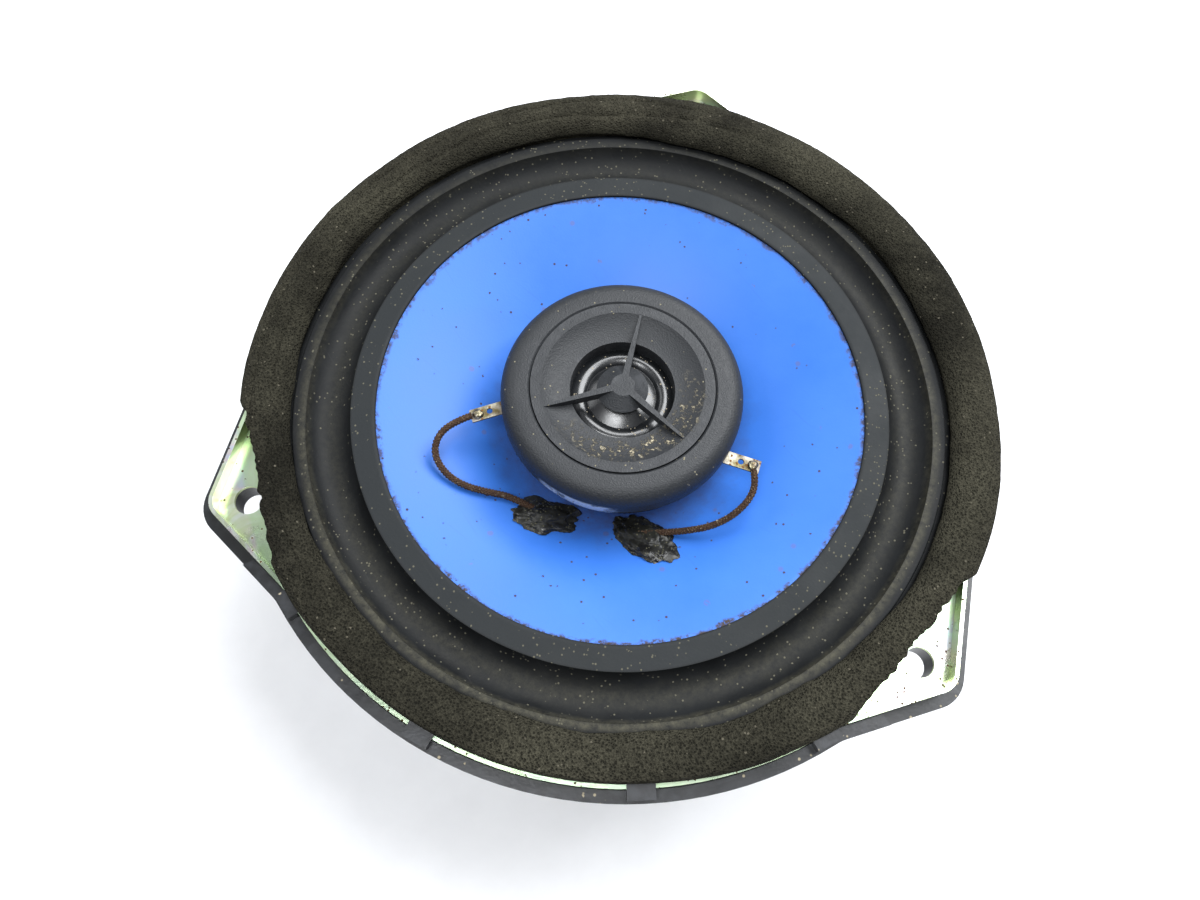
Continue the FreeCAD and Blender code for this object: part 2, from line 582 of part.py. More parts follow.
PLATE_TOP = "(0 - floor_depth - sheet_thickness)"
MAGNET_TOP = f"({PLATE_TOP} - plate_thickness)"
MAGNET_BOTTOM = f"({MAGNET_TOP} - magnet_thickness)"
REAR = f"({MAGNET_BOTTOM} - plate_thickness)"


def front_plate():
    body = new_body("front_plate")
    revolve(body, "plate", [
        ("gap_outer_radius", PLATE_TOP),
        ("plate_radius - steel_chamfer", PLATE_TOP),
        ("plate_radius", f"{PLATE_TOP} - steel_chamfer"),
        ("plate_radius", MAGNET_TOP),
        ("gap_outer_radius", MAGNET_TOP)])
    hole = new_sketch(body, "rivet_hole_circle", level=PLATE_TOP)
    draw_circle(hole, "rivet_circle_radius", "0", "rivet_radius + fit_gap")
    around(body, "rivet_holes", pocket(body, "rivet_hole", hole, "rivet_depth"), "rivet_count")
    return body


def ferrite_magnet():
    body = new_body("ferrite_magnet")
    revolve(body, "ring", [
        ("magnet_hole_radius", MAGNET_TOP),
        ("magnet_radius - magnet_chamfer", MAGNET_TOP),
        ("magnet_radius", f"{MAGNET_TOP} - magnet_chamfer"),
        ("magnet_radius", f"{MAGNET_BOTTOM} + magnet_chamfer"),
        ("magnet_radius - magnet_chamfer", MAGNET_BOTTOM),
        ("magnet_hole_radius", MAGNET_BOTTOM)])
    return body


def yoke():
    """Back plate and pole in one piece, with a recess for the long screw's head."""
    body = new_body("yoke")
    revolve(body, "yoke_turned", [
        ("screw_radius + fit_gap", f"{REAR} + screw_recess_depth"),
        ("screw_recess_radius", f"{REAR} + screw_recess_depth"),
        ("screw_recess_radius", REAR),
        ("plate_radius - steel_chamfer", REAR),
        ("plate_radius", f"{REAR} + steel_chamfer"),
        ("plate_radius", MAGNET_BOTTOM),
        ("pole_radius", MAGNET_BOTTOM),
        ("pole_radius", f"{PLATE_TOP} - pole_relief"),
        ("pole_radius - pole_relief", PLATE_TOP),
        ("screw_radius + fit_gap", PLATE_TOP)])
    return body


def rivets(name, shank, head, head_height, bottom, top, places, tail=False):
    """Round rivets at (x, y) places, a head on top and, where asked, a set head below."""
    body = new_body(name)
    body.AllowCompound = True
    for x, y in places:
        pin = new_sketch(body, "shank_circle", level=bottom)
        draw_circle(pin, x, y, shank)
        pad(body, "shank", pin, f"({top}) - ({bottom})")
        levels = [top] + ([f"({bottom}) - ({head_height})"] if tail else [])
        for level in levels:
            cap = new_sketch(body, "head_circle", level=level)
            draw_circle(cap, x, y, head)
            pad(body, "head", cap, head_height)
    return body


def basket_rivets():
    places = [(f"rivet_circle_radius * cos(360 / rivet_count * {turn})",
               f"rivet_circle_radius * sin(360 / rivet_count * {turn})") for turn in range(4)]
    return rivets("basket_rivets", "rivet_radius", "rivet_head_radius", "rivet_head_height",
                  f"{PLATE_TOP} - rivet_depth", "-floor_depth", places)


def post_screw():
    """Long screw from the rear of the yoke up into the boss of the tweeter housing."""
    body = new_body("post_screw")
    seat = f"{REAR} + screw_recess_depth"
    tip = "-housing_floor_depth + housing_floor_thickness + boss_height - 1"
    revolve(body, "screw", [
        ("0", f"{seat} - screw_head_height"),
        ("screw_head_radius - 0.5", f"{seat} - screw_head_height"),
        ("screw_head_radius", f"{seat} - screw_head_height + 0.5"),
        ("screw_head_radius", seat),
        ("screw_radius", seat),
        ("screw_radius", f"{tip} - 0.6"),
        ("screw_radius - 0.6", tip),
        ("0", tip)])
    slots = ("0", "90")
    for angle in slots:
        slot = new_sketch(body, "drive_slot_outline", level=f"{seat} - screw_head_height + 1.1")
        draw_outline(slot, rectangle("0", "0", angle, "-2.1", "2.1", "0.4"))
        pocket(body, "drive_slot", slot, "1.1")
    return body


def tweeter_post():
    body = new_body("tweeter_post")
    top = "-housing_floor_depth"
    revolve(body, "post", [
        ("screw_radius + fit_gap", PLATE_TOP),
        ("post_foot_radius", PLATE_TOP),
        ("post_foot_radius", f"{PLATE_TOP} + post_foot_height"),
        ("post_radius", f"{PLATE_TOP} + post_foot_height + 1"),
        ("post_radius", f"{top} - 4"),
        ("post_head_radius", f"{top} - 2"),
        ("post_head_radius", top),
        ("screw_radius + fit_gap", top)])
    return body


def terminal_board():
    body = new_body("terminal_board")
    top = "-shelf_depth - sheet_thickness"
    board = new_sketch(body, "board_outline", level=f"{top} - board_thickness")
    draw_outline(board, rectangle("0", "0", "-90", "board_inner", "board_outer", "board_half_width"))
    pad(body, "board", board, "board_thickness")
    for side in (-1, 1):
        for x, y in (("board_rivet_x", "-board_rivet_y"), ("blade_x", "-blade_rivet_y")):
            hole = new_sketch(body, "rivet_hole_circle", level=top)
            draw_circle(hole, f"{side} * {x}", y, "small_rivet_radius + fit_gap")
            pocket(body, "rivet_hole", hole, "board_thickness")
    return body


def blade(name, side, width):
    """A flat push-on terminal under the board, with a chamfered tip and a locking hole."""
    body = new_body(name)
    level = "-shelf_depth - sheet_thickness - board_thickness - blade_thickness"
    outline = new_sketch(body, "blade_outline", level=level)
    centre = f"{side} * blade_x"
    draw_outline(outline, [
        (f"{centre} - {width} / 2", "-blade_foot"),
        (f"{centre} - {width} / 2", "-blade_reach + 1"),
        (f"{centre} - {width} / 2 + 0.8", "-blade_reach"),
        (f"{centre} + {width} / 2 - 0.8", "-blade_reach"),
        (f"{centre} + {width} / 2", "-blade_reach + 1"),
        (f"{centre} + {width} / 2", "-blade_foot")])
    pad(body, "blade", outline, "blade_thickness")
    holes = (("-blade_rivet_y", "small_rivet_radius + fit_gap"), ("-blade_reach + 3.2", "0.7"))
    for y, radius in holes:
        hole = new_sketch(body, "blade_hole_circle", level=f"{level} + blade_thickness")
        draw_circle(hole, centre, y, radius)
        pocket(body, "blade_hole", hole, "blade_thickness")
    return body


def board_rivets():
    bottom = "-shelf_depth - sheet_thickness - board_thickness"
    places = [(f"{side} * board_rivet_x", "-board_rivet_y") for side in (-1, 1)]
    return rivets("board_rivets", "small_rivet_radius", "small_rivet_head", "small_rivet_head_height",
                  bottom, "-shelf_depth", places, tail=True)


def terminal_rivets():
    top = "-shelf_depth - sheet_thickness"
    places = [(f"{side} * blade_x", "-blade_rivet_y") for side in (-1, 1)]
    return rivets("terminal_rivets", "small_rivet_radius", "small_rivet_head", "small_rivet_head_height",
                  f"{top} - board_thickness - blade_thickness", top, places, tail=True)


def cone():
    body = new_body("cone")
    neck = "former_inner_radius + former_wall"
    top = "cone_edge_height"
    revolve(body, "shell", [
        (neck, "-cone_neck_depth - cone_neck_length"),
        (f"{neck} + cone_thickness", "-cone_neck_depth - cone_neck_length"),
        (f"{neck} + cone_thickness", "-cone_neck_depth - cone_thickness", "-(cone_flare + cone_thickness)"),
        ("cone_edge_radius + 0.4", f"{top} - cone_thickness"),
        ("cone_edge_radius + cone_flange_width", f"{top} - cone_thickness"),
        ("cone_edge_radius + cone_flange_width", top),
        ("cone_edge_radius", top, "cone_flare"),
        (neck, "-cone_neck_depth")])
    return body


def surround():
    """Rubber edge with a hollow roll between the glued lip and the bead in the tray."""
    body = new_body("surround")
    tray = "(spacer_height + sheet_thickness)"
    lip = "(cone_edge_height + lip_thickness)"
    outer = "(roll_radius + rubber_thickness)"
    band = f"({tray} + bead_height)"
    inside = f"roll_centre_radius - sqrt(roll_radius^2 - (roll_centre_height - {lip})^2)"
    crest = f"roll_centre_radius + sqrt(roll_radius^2 - (roll_centre_height - {band})^2)"
    bead_top = f"roll_centre_height - sqrt({outer}^2 - (mouth_radius - roll_centre_radius)^2)"
    glue_edge = f"roll_centre_radius - sqrt({outer}^2 - (roll_centre_height - cone_edge_height)^2)"
    revolve(body, "edge", [
        ("cone_edge_radius", "cone_edge_height"),
        (glue_edge, "cone_edge_height", outer),
        ("mouth_radius", bead_top),
        ("mouth_radius", tray),
        ("bead_outer_radius", tray),
        ("bead_outer_radius", f"{band} - bead_chamfer"),
        ("bead_outer_radius - bead_chamfer", band),
        (crest, band, "-roll_radius"),
        (inside, lip),
        ("cone_edge_radius", lip)])
    return body


def spider():
    """Folded cloth disc that centres the coil: a collar, ten half folds and a glued rim."""
    body = new_body("spider")
    former = "former_inner_radius + former_wall"
    base = "-shelf_depth"
    top = f"{base} + spider_thickness"
    folds = 10
    lower = [(f"spider_wave_start + {fold} * spider_wave_pitch", base,
              "spider_wave_arc" if fold % 2 else "-spider_wave_arc") for fold in range(folds)]
    upper = [(f"spider_wave_start + {fold} * spider_wave_pitch", top,
              "spider_wave_arc" if fold % 2 else "-spider_wave_arc") for fold in range(folds, 0, -1)]
    corners = [(former, base)] + lower + [
        (f"spider_wave_start + {folds} * spider_wave_pitch", base),
        ("spider_outer_radius", base),
        ("spider_outer_radius", top)] + upper + [
        ("spider_wave_start", top),
        (f"{former} + spider_collar_wall", top),
        (f"{former} + spider_collar_wall", f"{base} + spider_collar"),
        (former, f"{base} + spider_collar")]
    revolve(body, "cloth", corners)
    return body


COIL_MIDDLE = f"({PLATE_TOP} - plate_thickness / 2)"


def voice_coil_former():
    body = new_body("voice_coil_former")
    revolve(body, "bobbin", [
        ("former_inner_radius", f"{COIL_MIDDLE} - winding_height / 2"),
        ("former_inner_radius + former_wall", f"{COIL_MIDDLE} - winding_height / 2"),
        ("former_inner_radius + former_wall", "-cone_neck_depth + former_overlap"),
        ("former_inner_radius", "-cone_neck_depth + former_overlap")])
    return body


def voice_coil():
    body = new_body("voice_coil")
    inner = "former_inner_radius + former_wall"
    revolve(body, "winding", [
        (inner, f"{COIL_MIDDLE} - winding_height / 2"),
        (f"{inner} + winding_build", f"{COIL_MIDDLE} - winding_height / 2"),
        (f"{inner} + winding_build", f"{COIL_MIDDLE} + winding_height / 2"),
        (inner, f"{COIL_MIDDLE} + winding_height / 2")])
    return body


def cone_surface(radius):
    """Height of the cone's front surface at a radius."""
    inner = FreeCAD.Vector(value("former_inner_radius + former_wall"), value("-cone_neck_depth"), 0)
    outer = FreeCAD.Vector(value("cone_edge_radius"), value("cone_edge_height"), 0)
    arc = arc_between(outer, inner, value("cone_flare"))
    centre = arc.Center
    return centre.y + (value("cone_flare") ** 2 - (radius - centre.x) ** 2) ** 0.5


ANCHORS = {"left": (-10.1, -25.4, 248.3), "right": (10.9, -24.7, 293.8)}


def lead_anchor(side, lead):
    """A lump of black glue on the cone, with the lead's end buried in it."""
    body = new_body("glue_lump_" + side)
    x, y, angle = ANCHORS[side]
    level = cone_surface((x * x + y * y) ** 0.5) + value("anchor_lift")
    lump = body.newObject("PartDesign::AdditiveEllipsoid", "lump")
    lump.setExpression("Radius1", bound("anchor_radius_high"))
    lump.setExpression("Radius2", bound("anchor_radius_wide"))
    lump.setExpression("Radius3", bound("anchor_radius_long"))
    lump.Placement = FreeCAD.Placement(FreeCAD.Vector(x, y, level),
                                       FreeCAD.Rotation(FreeCAD.Vector(0, 0, 1), angle))
    neck = "former_inner_radius + former_wall"
    groove(body, "cone_side", [
        (neck, "-cone_neck_depth"),
        (neck, "-cone_neck_depth - 12"),
        ("cone_edge_radius", "-cone_neck_depth - 12"),
        ("cone_edge_radius", "cone_edge_height", "cone_flare")])
    anchor = doc.addObject("Part::Cut", "lead_anchor_" + side)
    anchor.Label = "lead_anchor_" + side
    anchor.Base = body
    anchor.Tool = lead
    return anchor


def tweeter_housing():
    """Lower shell of the tweeter, screwed to the post."""
    body = new_body("tweeter_housing")
    bottom = "-housing_floor_depth"
    floor = f"({bottom} + housing_floor_thickness)"
    revolve(body, "shell", [
        ("screw_radius", bottom),
        ("housing_floor_radius", bottom),
        ("housing_rim_radius", "housing_shoulder"),
        ("housing_rim_radius", "bezel_bottom"),
        ("housing_rim_radius - housing_wall", "bezel_bottom"),
        ("housing_rim_radius - housing_wall", "housing_shoulder + 0.6"),
        ("housing_floor_radius - 0.6", floor),
        ("boss_radius", floor),
        ("boss_radius", f"{floor} + boss_height"),
        ("screw_radius", f"{floor} + boss_height")])
    return body


LUGS = ("left", "right")


def lug_rectangle(side, start, end, half_width):
    return rectangle(f"{side}_lug_x", f"{side}_lug_y", f"{side}_lug_angle", start, end, half_width)


def tweeter_bezel():
    """Upper shell of the tweeter, with a rounded edge and two slots for the solder tabs."""
    body = new_body("tweeter_bezel")
    revolve(body, "ring", [
        ("bezel_ledge_radius", "bezel_bottom"),
        ("bezel_radius", "bezel_bottom"),
        ("bezel_radius", "face_height - bezel_round", "bezel_round"),
        ("bezel_radius - bezel_round", "face_height"),
        ("bezel_inner_radius + bezel_edge", "face_height"),
        ("bezel_inner_radius", "face_height - bezel_edge"),
        ("bezel_inner_radius", "bezel_ledge_top"),
        ("bezel_ledge_radius", "bezel_ledge_top")])
    for side in LUGS:
        slot = new_sketch(body, "tab_slot_outline", level="bezel_bottom + lug_thickness + fit_gap")
        draw_outline(slot, lug_rectangle(side, "-lug_inside - fit_gap", "3", "lug_width / 2 + fit_gap"))
        pocket(body, "tab_slot", slot, "lug_thickness + fit_gap")
    return body


def tweeter_faceplate():
    """Dished grille plate with a phase plug held by three fins."""
    body = new_body("tweeter_faceplate")
    revolve(body, "dish", [
        ("plate_face_radius", "bezel_ledge_top"),
        ("plate_face_radius", "face_height"),
        ("dish_radius", "face_height", "-dish_arc"),
        ("throat_radius", "throat_height"),
        ("throat_radius", "diaphragm_height + film_thickness"),
        ("clamp_outer_radius", "diaphragm_height + film_thickness"),
        ("clamp_outer_radius", "plate_underside"),
        ("plate_skirt_inner", "plate_underside"),
        ("plate_skirt_inner", "bezel_ledge_top")])
    fin = new_sketch(body, "fin_outline", level="fin_underside")
    draw_outline(fin, [
        ("fin_root / 2", "fin_start"),
        ("fin_tip / 2", "fin_reach"),
        ("-fin_tip / 2", "fin_reach"),
        ("-fin_root / 2", "fin_start")])
    around(body, "fins", pad(body, "fin", fin, "face_height - fin_underside"), "ear_count")
    revolve(body, "phase_plug", [
        ("0", "plug_underside"),
        ("plug_radius - 0.4", "plug_underside"),
        ("plug_radius", "plug_shoulder"),
        ("plug_top_radius", "face_height"),
        ("0", "face_height")])
    return body


def tweeter_dome():
    body = new_body("tweeter_dome")
    seat = "diaphragm_height"
    rise = f"({seat} + dome_arc - sqrt(dome_arc^2 - dome_radius^2))"
    revolve(body, "dome", [
        ("0", f"{rise}"),
        ("0", f"{rise} + film_thickness", "-dome_arc"),
        ("dome_radius", f"{seat} + film_thickness"),
        ("dome_radius", seat, "dome_arc")])
    return body


def tweeter_surround():
    body = new_body("tweeter_surround")
    seat = "diaphragm_height"
    top = "diaphragm_height + film_thickness"
    revolve(body, "film", [
        ("dome_radius", seat),
        ("dome_radius", top, "-film_roll_radius"),
        ("film_roll_end", top),
        ("film_outer_radius", top),
        ("film_outer_radius", seat),
        ("film_roll_end", seat, "film_roll_radius")])
    return body


def tweeter_coil():
    body = new_body("tweeter_coil")
    revolve(body, "winding", [
        ("small_coil_inner", "diaphragm_height - small_coil_height"),
        ("small_coil_outer", "diaphragm_height - small_coil_height"),
        ("small_coil_outer", "diaphragm_height"),
        ("small_coil_inner", "diaphragm_height")])
    return body


WASHER_BOTTOM = "(pot_top - washer_thickness)"
DISC_BOTTOM = f"({WASHER_BOTTOM} - disc_thickness)"
POT_BOTTOM = f"({DISC_BOTTOM} - pot_floor)"


def tweeter_pot():
    body = new_body("tweeter_pot")
    revolve(body, "cup", [
        ("0", POT_BOTTOM),
        ("pot_outer_radius", POT_BOTTOM),
        ("pot_outer_radius", "pot_top"),
        ("pot_inner_radius", "pot_top"),
        ("pot_inner_radius", DISC_BOTTOM),
        ("0", DISC_BOTTOM)])
    return body


def plain_disc(name, radius, bottom, top):
    body = new_body(name)
    revolve(body, "disc", [("0", bottom), (radius, bottom), (radius, top), ("0", top)])
    return body


def tweeter_carrier():
    """Ring that holds the magnet pot and the diaphragm's edge inside the housing."""
    body = new_body("tweeter_carrier")
    top = "diaphragm_height"
    slope = "((housing_shoulder + 0.6 + housing_floor_depth - housing_floor_thickness)"
    slope += " / (housing_rim_radius - housing_wall - housing_floor_radius + 0.6))"
    foot = "-housing_floor_depth + housing_floor_thickness"
    foot += f" + (carrier_tube_outer - housing_floor_radius + 0.6) * {slope}"
    revolve(body, "carrier", [
        ("pot_outer_radius + fit_gap", f"{top} - 3"),
        ("carrier_tube_inner", f"{top} - 3"),
        ("carrier_tube_inner", foot),
        ("carrier_tube_outer", foot),
        ("carrier_tube_outer", f"{top} - carrier_flange"),
        ("carrier_outer_radius", f"{top} - carrier_flange"),
        ("carrier_outer_radius", top),
        ("film_roll_end", top),
        ("film_roll_end", f"{top} - 0.6"),
        ("pot_outer_radius + fit_gap", f"{top} - 0.6")])
    return body


def tweeter_capacitor():
    """Small axial capacitor that lies in the housing beside the carrier."""
    body = new_body("tweeter_capacitor")
    end = new_sketch(body, "can_circle", "YZ_Plane", "-capacitor_length / 2")
    draw_circle(end, "capacitor_orbit", "capacitor_level", "capacitor_radius")
    pad(body, "can", end, "capacitor_length")
    return body


def solder_tab(side):
    body = new_body("solder_tab_" + side)
    outline = new_sketch(body, "tab_outline", level="bezel_bottom")
    draw_outline(outline, lug_rectangle(side, "-lug_inside", f"{side}_lug_length", "lug_width / 2"))
    pad(body, "tab", outline, "lug_thickness")
    hole = new_sketch(body, "tab_hole_circle", level="bezel_bottom + lug_thickness")
    place = rotated(f"{side}_lug_x", f"{side}_lug_y", f"{side}_lug_angle",
                    f"{side}_lug_length - lug_hole_inset - 1.4", "0")
    draw_circle(hole, place[0], place[1], "lug_hole_radius")
    pocket(body, "tab_hole", hole, "lug_thickness")
    return body


def solder_place(side):
    reach = f"{side}_lug_length - solder_inset"
    return rotated(f"{side}_lug_x", f"{side}_lug_y", f"{side}_lug_angle", reach, "0")


def solder_joint(side):
    """A cap of solder on the end of a tab, which holds the lead's end."""
    body = new_body("solder_joint_" + side)
    x, y = solder_place(side)
    body.setExpression(".Placement.Base.x", bound(x))
    body.setExpression(".Placement.Base.y", bound(y))
    body.setExpression(".Placement.Base.z", bound("bezel_bottom + lug_thickness"))
    revolve(body, "cap", [
        ("0", "0"),
        ("solder_radius - 0.2", "0"),
        ("solder_radius - 0.35", "solder_height * 0.6"),
        ("solder_radius - 0.8", "solder_height"),
        ("0", "solder_height")])
    return body


# Each lead runs in a loop over the cone, from its solder joint to its anchor. A point is its share of
# the way between them, its distance to the left of the straight line, and its height above the tab.
LEAD_ROUTES = {
    "left": [(-0.0099, -1.31, 0.75), (-0.0605, -5.18, 0.5), (-0.0542, -9.18, -0.5), (0.0482, -11.91, -1.9),
             (0.2267, -12.35, -3.5), (0.4089, -10.65, -4.8), (0.5675, -7.34, -6.3), (0.7055, -3.77, -8.0),
             (0.9326, -1.12, -9.5)],
    "right": [(0.0285, 1.18, 0.75), (0.0701, 3.91, 0.4), (0.1889, 5.99, -0.9), (0.3539, 6.79, -2.8),
              (0.5222, 6.18, -4.9), (0.6611, 4.61, -6.8), (0.7653, 3.13, -8.5), (1.0617, -0.55, -9.5)],
}


def lead_points(side):
    x, y = solder_place(side)
    start = FreeCAD.Vector(value(x), value(y), value("bezel_bottom + lug_thickness"))
    along = FreeCAD.Vector(ANCHORS[side][0], ANCHORS[side][1], start.z) - start
    left = FreeCAD.Vector(-along.y, along.x, 0).normalize()
    up = FreeCAD.Vector(0, 0, 1)
    return [start + along * share + left * aside + up * above for share, aside, above in LEAD_ROUTES[side]]


def rounded_route(points):
    """Straight runs joined by tangent arcs, as a wire, and the arcs' radii."""
    edges = []
    radii = []
    start = points[0]
    for before, corner, after in zip(points, points[1:], points[2:]):
        to_before = before - corner
        to_after = after - corner
        turn = math.pi - to_before.getAngle(to_after)
        reach = 0.45 * min(to_before.Length, to_after.Length)
        first = corner + FreeCAD.Vector(to_before).normalize() * reach
        last = corner + FreeCAD.Vector(to_after).normalize() * reach
        bisector = (first - corner + last - corner).normalize()
        radius = reach / math.tan(turn / 2)
        middle = corner + bisector * (math.hypot(radius, reach) - radius)
        edges.append(Part.LineSegment(start, first).toShape())
        edges.append(Part.Arc(first, middle, last).toShape())
        radii.append(radius)
        start = last
    edges.append(Part.LineSegment(start, points[-1]).toShape())
    return Part.Wire(edges), radii


def tweeter_lead(side):
    route = lead_points(side)
    wire, radii = rounded_route(route)
    radius = value("lead_radius")
    section = Part.Wire([Part.Circle(route[0], route[1] - route[0], radius).toShape()])
    tube = wire.makePipeShell([section], True, False)
    lead = doc.addObject("Part::Feature", "tweeter_lead_" + side)
    lead.Label = "tweeter_lead_" + side
    lead.Shape = tube
    lead.Placement = FreeCAD.Placement()
    expected = math.pi * radius * radius * wire.Length
    print(lead.Label, "arc radii", [round(radius, 1) for radius in radii])
    print(lead.Label, "length", round(wire.Length, 1))
    print(lead.Label, "volume", round(tube.Volume, 2), "of", round(expected, 2))
    return lead


def build():
    parts = [basket(), spacer_ring(), foam_gasket(), front_plate(), ferrite_magnet(), yoke(), basket_rivets(),
             post_screw(), tweeter_post(), terminal_board(), blade("terminal_positive", 1, "blade_wide"),
             blade("terminal_negative", -1, "blade_narrow"), board_rivets(), terminal_rivets(),
             cone(), surround(), spider(), voice_coil_former(), voice_coil(),
             tweeter_housing(), tweeter_bezel(), tweeter_faceplate(), tweeter_dome(), tweeter_surround(),
             tweeter_coil(), tweeter_pot(), plain_disc("tweeter_magnet", "disc_radius", DISC_BOTTOM, WASHER_BOTTOM),
             plain_disc("tweeter_pole_washer", "washer_radius", WASHER_BOTTOM, "pot_top"),
             tweeter_carrier(), tweeter_capacitor()]
    for side in LUGS:
        lead = tweeter_lead(side)
        parts += [lead_anchor(side, lead), solder_tab(side), solder_joint(side), lead]
    doc.recompute()
    for item in doc.Objects:
        if "Invalid" in item.State or "Error" in item.State:
            raise RuntimeError(f"{item.Name} ({item.Label}) failed: {item.State}")
    os.makedirs("parts", exist_ok=True)
    for part in parts:
        shape = part.Shape
        if shape.isNull() or not shape.isValid() or not shape.Solids:
            raise RuntimeError(f"{part.Label} is not a valid solid")
        shape.exportStep(f"parts/{part.Label}.step")
        print(part.Label, len(shape.Solids), round(shape.Volume, 1))


build()
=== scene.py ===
import math
import bmesh
import bpy
import numpy
from mathutils import Matrix, Quaternion, Vector, noise


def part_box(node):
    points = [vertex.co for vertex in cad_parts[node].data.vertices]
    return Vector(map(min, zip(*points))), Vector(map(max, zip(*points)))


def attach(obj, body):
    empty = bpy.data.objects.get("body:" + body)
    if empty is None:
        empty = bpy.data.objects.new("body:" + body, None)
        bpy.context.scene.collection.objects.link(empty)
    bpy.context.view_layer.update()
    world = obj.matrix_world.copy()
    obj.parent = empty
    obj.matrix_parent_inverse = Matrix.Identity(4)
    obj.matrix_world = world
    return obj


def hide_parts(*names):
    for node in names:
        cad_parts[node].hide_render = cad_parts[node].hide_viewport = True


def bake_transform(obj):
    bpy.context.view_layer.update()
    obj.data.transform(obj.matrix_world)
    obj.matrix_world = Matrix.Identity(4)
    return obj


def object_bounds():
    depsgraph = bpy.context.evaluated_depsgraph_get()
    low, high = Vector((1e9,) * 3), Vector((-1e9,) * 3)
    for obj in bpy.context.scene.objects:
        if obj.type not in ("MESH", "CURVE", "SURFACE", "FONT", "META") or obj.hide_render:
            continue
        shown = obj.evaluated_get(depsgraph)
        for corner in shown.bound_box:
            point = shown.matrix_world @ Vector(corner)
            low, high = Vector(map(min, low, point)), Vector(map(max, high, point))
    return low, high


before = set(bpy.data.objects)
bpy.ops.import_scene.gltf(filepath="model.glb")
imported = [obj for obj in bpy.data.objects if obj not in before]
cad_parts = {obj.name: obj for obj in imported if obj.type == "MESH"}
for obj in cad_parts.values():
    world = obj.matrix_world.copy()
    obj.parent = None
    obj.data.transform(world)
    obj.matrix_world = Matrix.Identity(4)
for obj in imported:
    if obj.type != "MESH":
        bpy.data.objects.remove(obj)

scene = bpy.context.scene
cadLow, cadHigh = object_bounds()
mm = 0.001
weld = 2e-6


# Small helpers for meshes

def addPiece(name, mesh, finish=None):
    piece = bpy.data.objects.new(name, mesh)
    scene.collection.objects.link(piece)
    if finish:
        mesh.materials.clear()
        mesh.materials.append(finish)
    return piece


def closeMesh(mesh, crease=38):
    work = bmesh.new()
    work.from_mesh(mesh)
    bmesh.ops.remove_doubles(work, verts=work.verts, dist=weld)
    bmesh.ops.recalc_face_normals(work, faces=work.faces)
    work.to_mesh(mesh)
    work.free()
    mesh.shade_smooth()
    mesh.set_sharp_from_angle(angle=math.radians(crease))
    return mesh


def turnedMesh(name, profile, steps=180, wander=None, crease=38):
    # profile is a closed run of (radius, height) in millimetres
    points, faces = [], []
    count = len(profile)
    for step in range(steps):
        angle = 2 * math.pi * step / steps
        for radius, height in profile:
            if wander:
                radius, height = wander(angle, radius, height)
            points.append((radius * math.cos(angle) * mm, radius * math.sin(angle) * mm, height * mm))
    for step in range(steps):
        here, there = step * count, (step + 1) % steps * count
        for index in range(count):
            after = (index + 1) % count
            faces.append((here + index, there + index, there + after, here + after))
    mesh = bpy.data.meshes.new(name)
    mesh.from_pydata(points, [], faces)
    return closeMesh(mesh, crease)


def bow(start, end, rise, count):
    # points from start to just before end, along a shallow arc that rises to its left
    across = (end[0] - start[0], end[1] - start[1])
    length = math.hypot(*across)
    points = []
    for index in range(count):
        share = index / count
        lift = 4 * share * (1 - share) * rise / length
        points.append((start[0] + across[0] * share - across[1] * lift,
                       start[1] + across[1] * share + across[0] * lift))
    return points


def arc(centre, radius, first, last, count):
    turns = [math.radians(first + (last - first) * index / count) for index in range(count + 1)]
    return [(centre[0] + radius * math.cos(turn), centre[1] + radius * math.sin(turn)) for turn in turns]


def measuredBlend(piece, measure, end):
    # puts a measure of each vertex in place of its position while the transform is baked, then puts the
    # positions back
    mesh = piece.data
    spots = numpy.zeros(len(mesh.vertices) * 3)
    mesh.vertices.foreach_get("co", spots)
    spots = spots.reshape(-1, 3)
    line = numpy.zeros_like(spots)
    line[:, 0] = measure(spots)
    mesh.vertices.foreach_set("co", line.ravel())
    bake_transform(piece)
    mesh.vertices.foreach_set("co", spots.ravel())
    mesh.update()


def radialBlend(piece, outerRadius, innerRadius):
    measuredBlend(piece, lambda spots: numpy.hypot(spots[:, 0], spots[:, 1]),
                  innerRadius * mm)


def wobble(point, scale, size, seed=0.0):
    return size * noise.noise(Vector(point) * scale + Vector((seed, seed * 1.7, seed * 0.3)))


# Small helpers for shader and geometry nodes

def put(tree, kind, links=None, **settings):
    node = tree.nodes.new(kind)
    for name, value in settings.items():
        setattr(node, name, value)
    for socket, value in (links or {}).items():
        if isinstance(value, bpy.types.NodeSocket):
            tree.links.new(value, node.inputs[socket])
        else:
            node.inputs[socket].default_value = value
    return node


def math2(tree, operation, first, second=0.0, clamp=False):
    return put(tree, "ShaderNodeMath", {0: first, 1: second}, operation=operation, use_clamp=clamp).outputs[0]


def times(tree, first, second, clamp=False):
    return math2(tree, "MULTIPLY", first, second, clamp)


def plus(tree, first, second, clamp=False):
    return math2(tree, "ADD", first, second, clamp)


def minus(tree, first, second, clamp=False):
    return math2(tree, "SUBTRACT", first, second, clamp)


def mixColour(tree, factor, first, second):
    first, second = [rgba(side) if isinstance(side, tuple) else side for side in (first, second)]
    return put(tree, "ShaderNodeMix", {0: factor, 6: first, 7: second}, data_type="RGBA").outputs[2]


def objectPlace(tree):
    return put(tree, "ShaderNodeTexCoord").outputs["Object"]


def cloudNoise(tree, place, scale, detail=2.0, roughness=0.5, distortion=0.0):
    return put(tree, "ShaderNodeTexNoise", {"Vector": place, "Scale": scale, "Detail": detail,
                                            "Roughness": roughness, "Distortion": distortion}).outputs[0]


def splitPlace(tree, place):
    return put(tree, "ShaderNodeSeparateXYZ", {0: place}).outputs


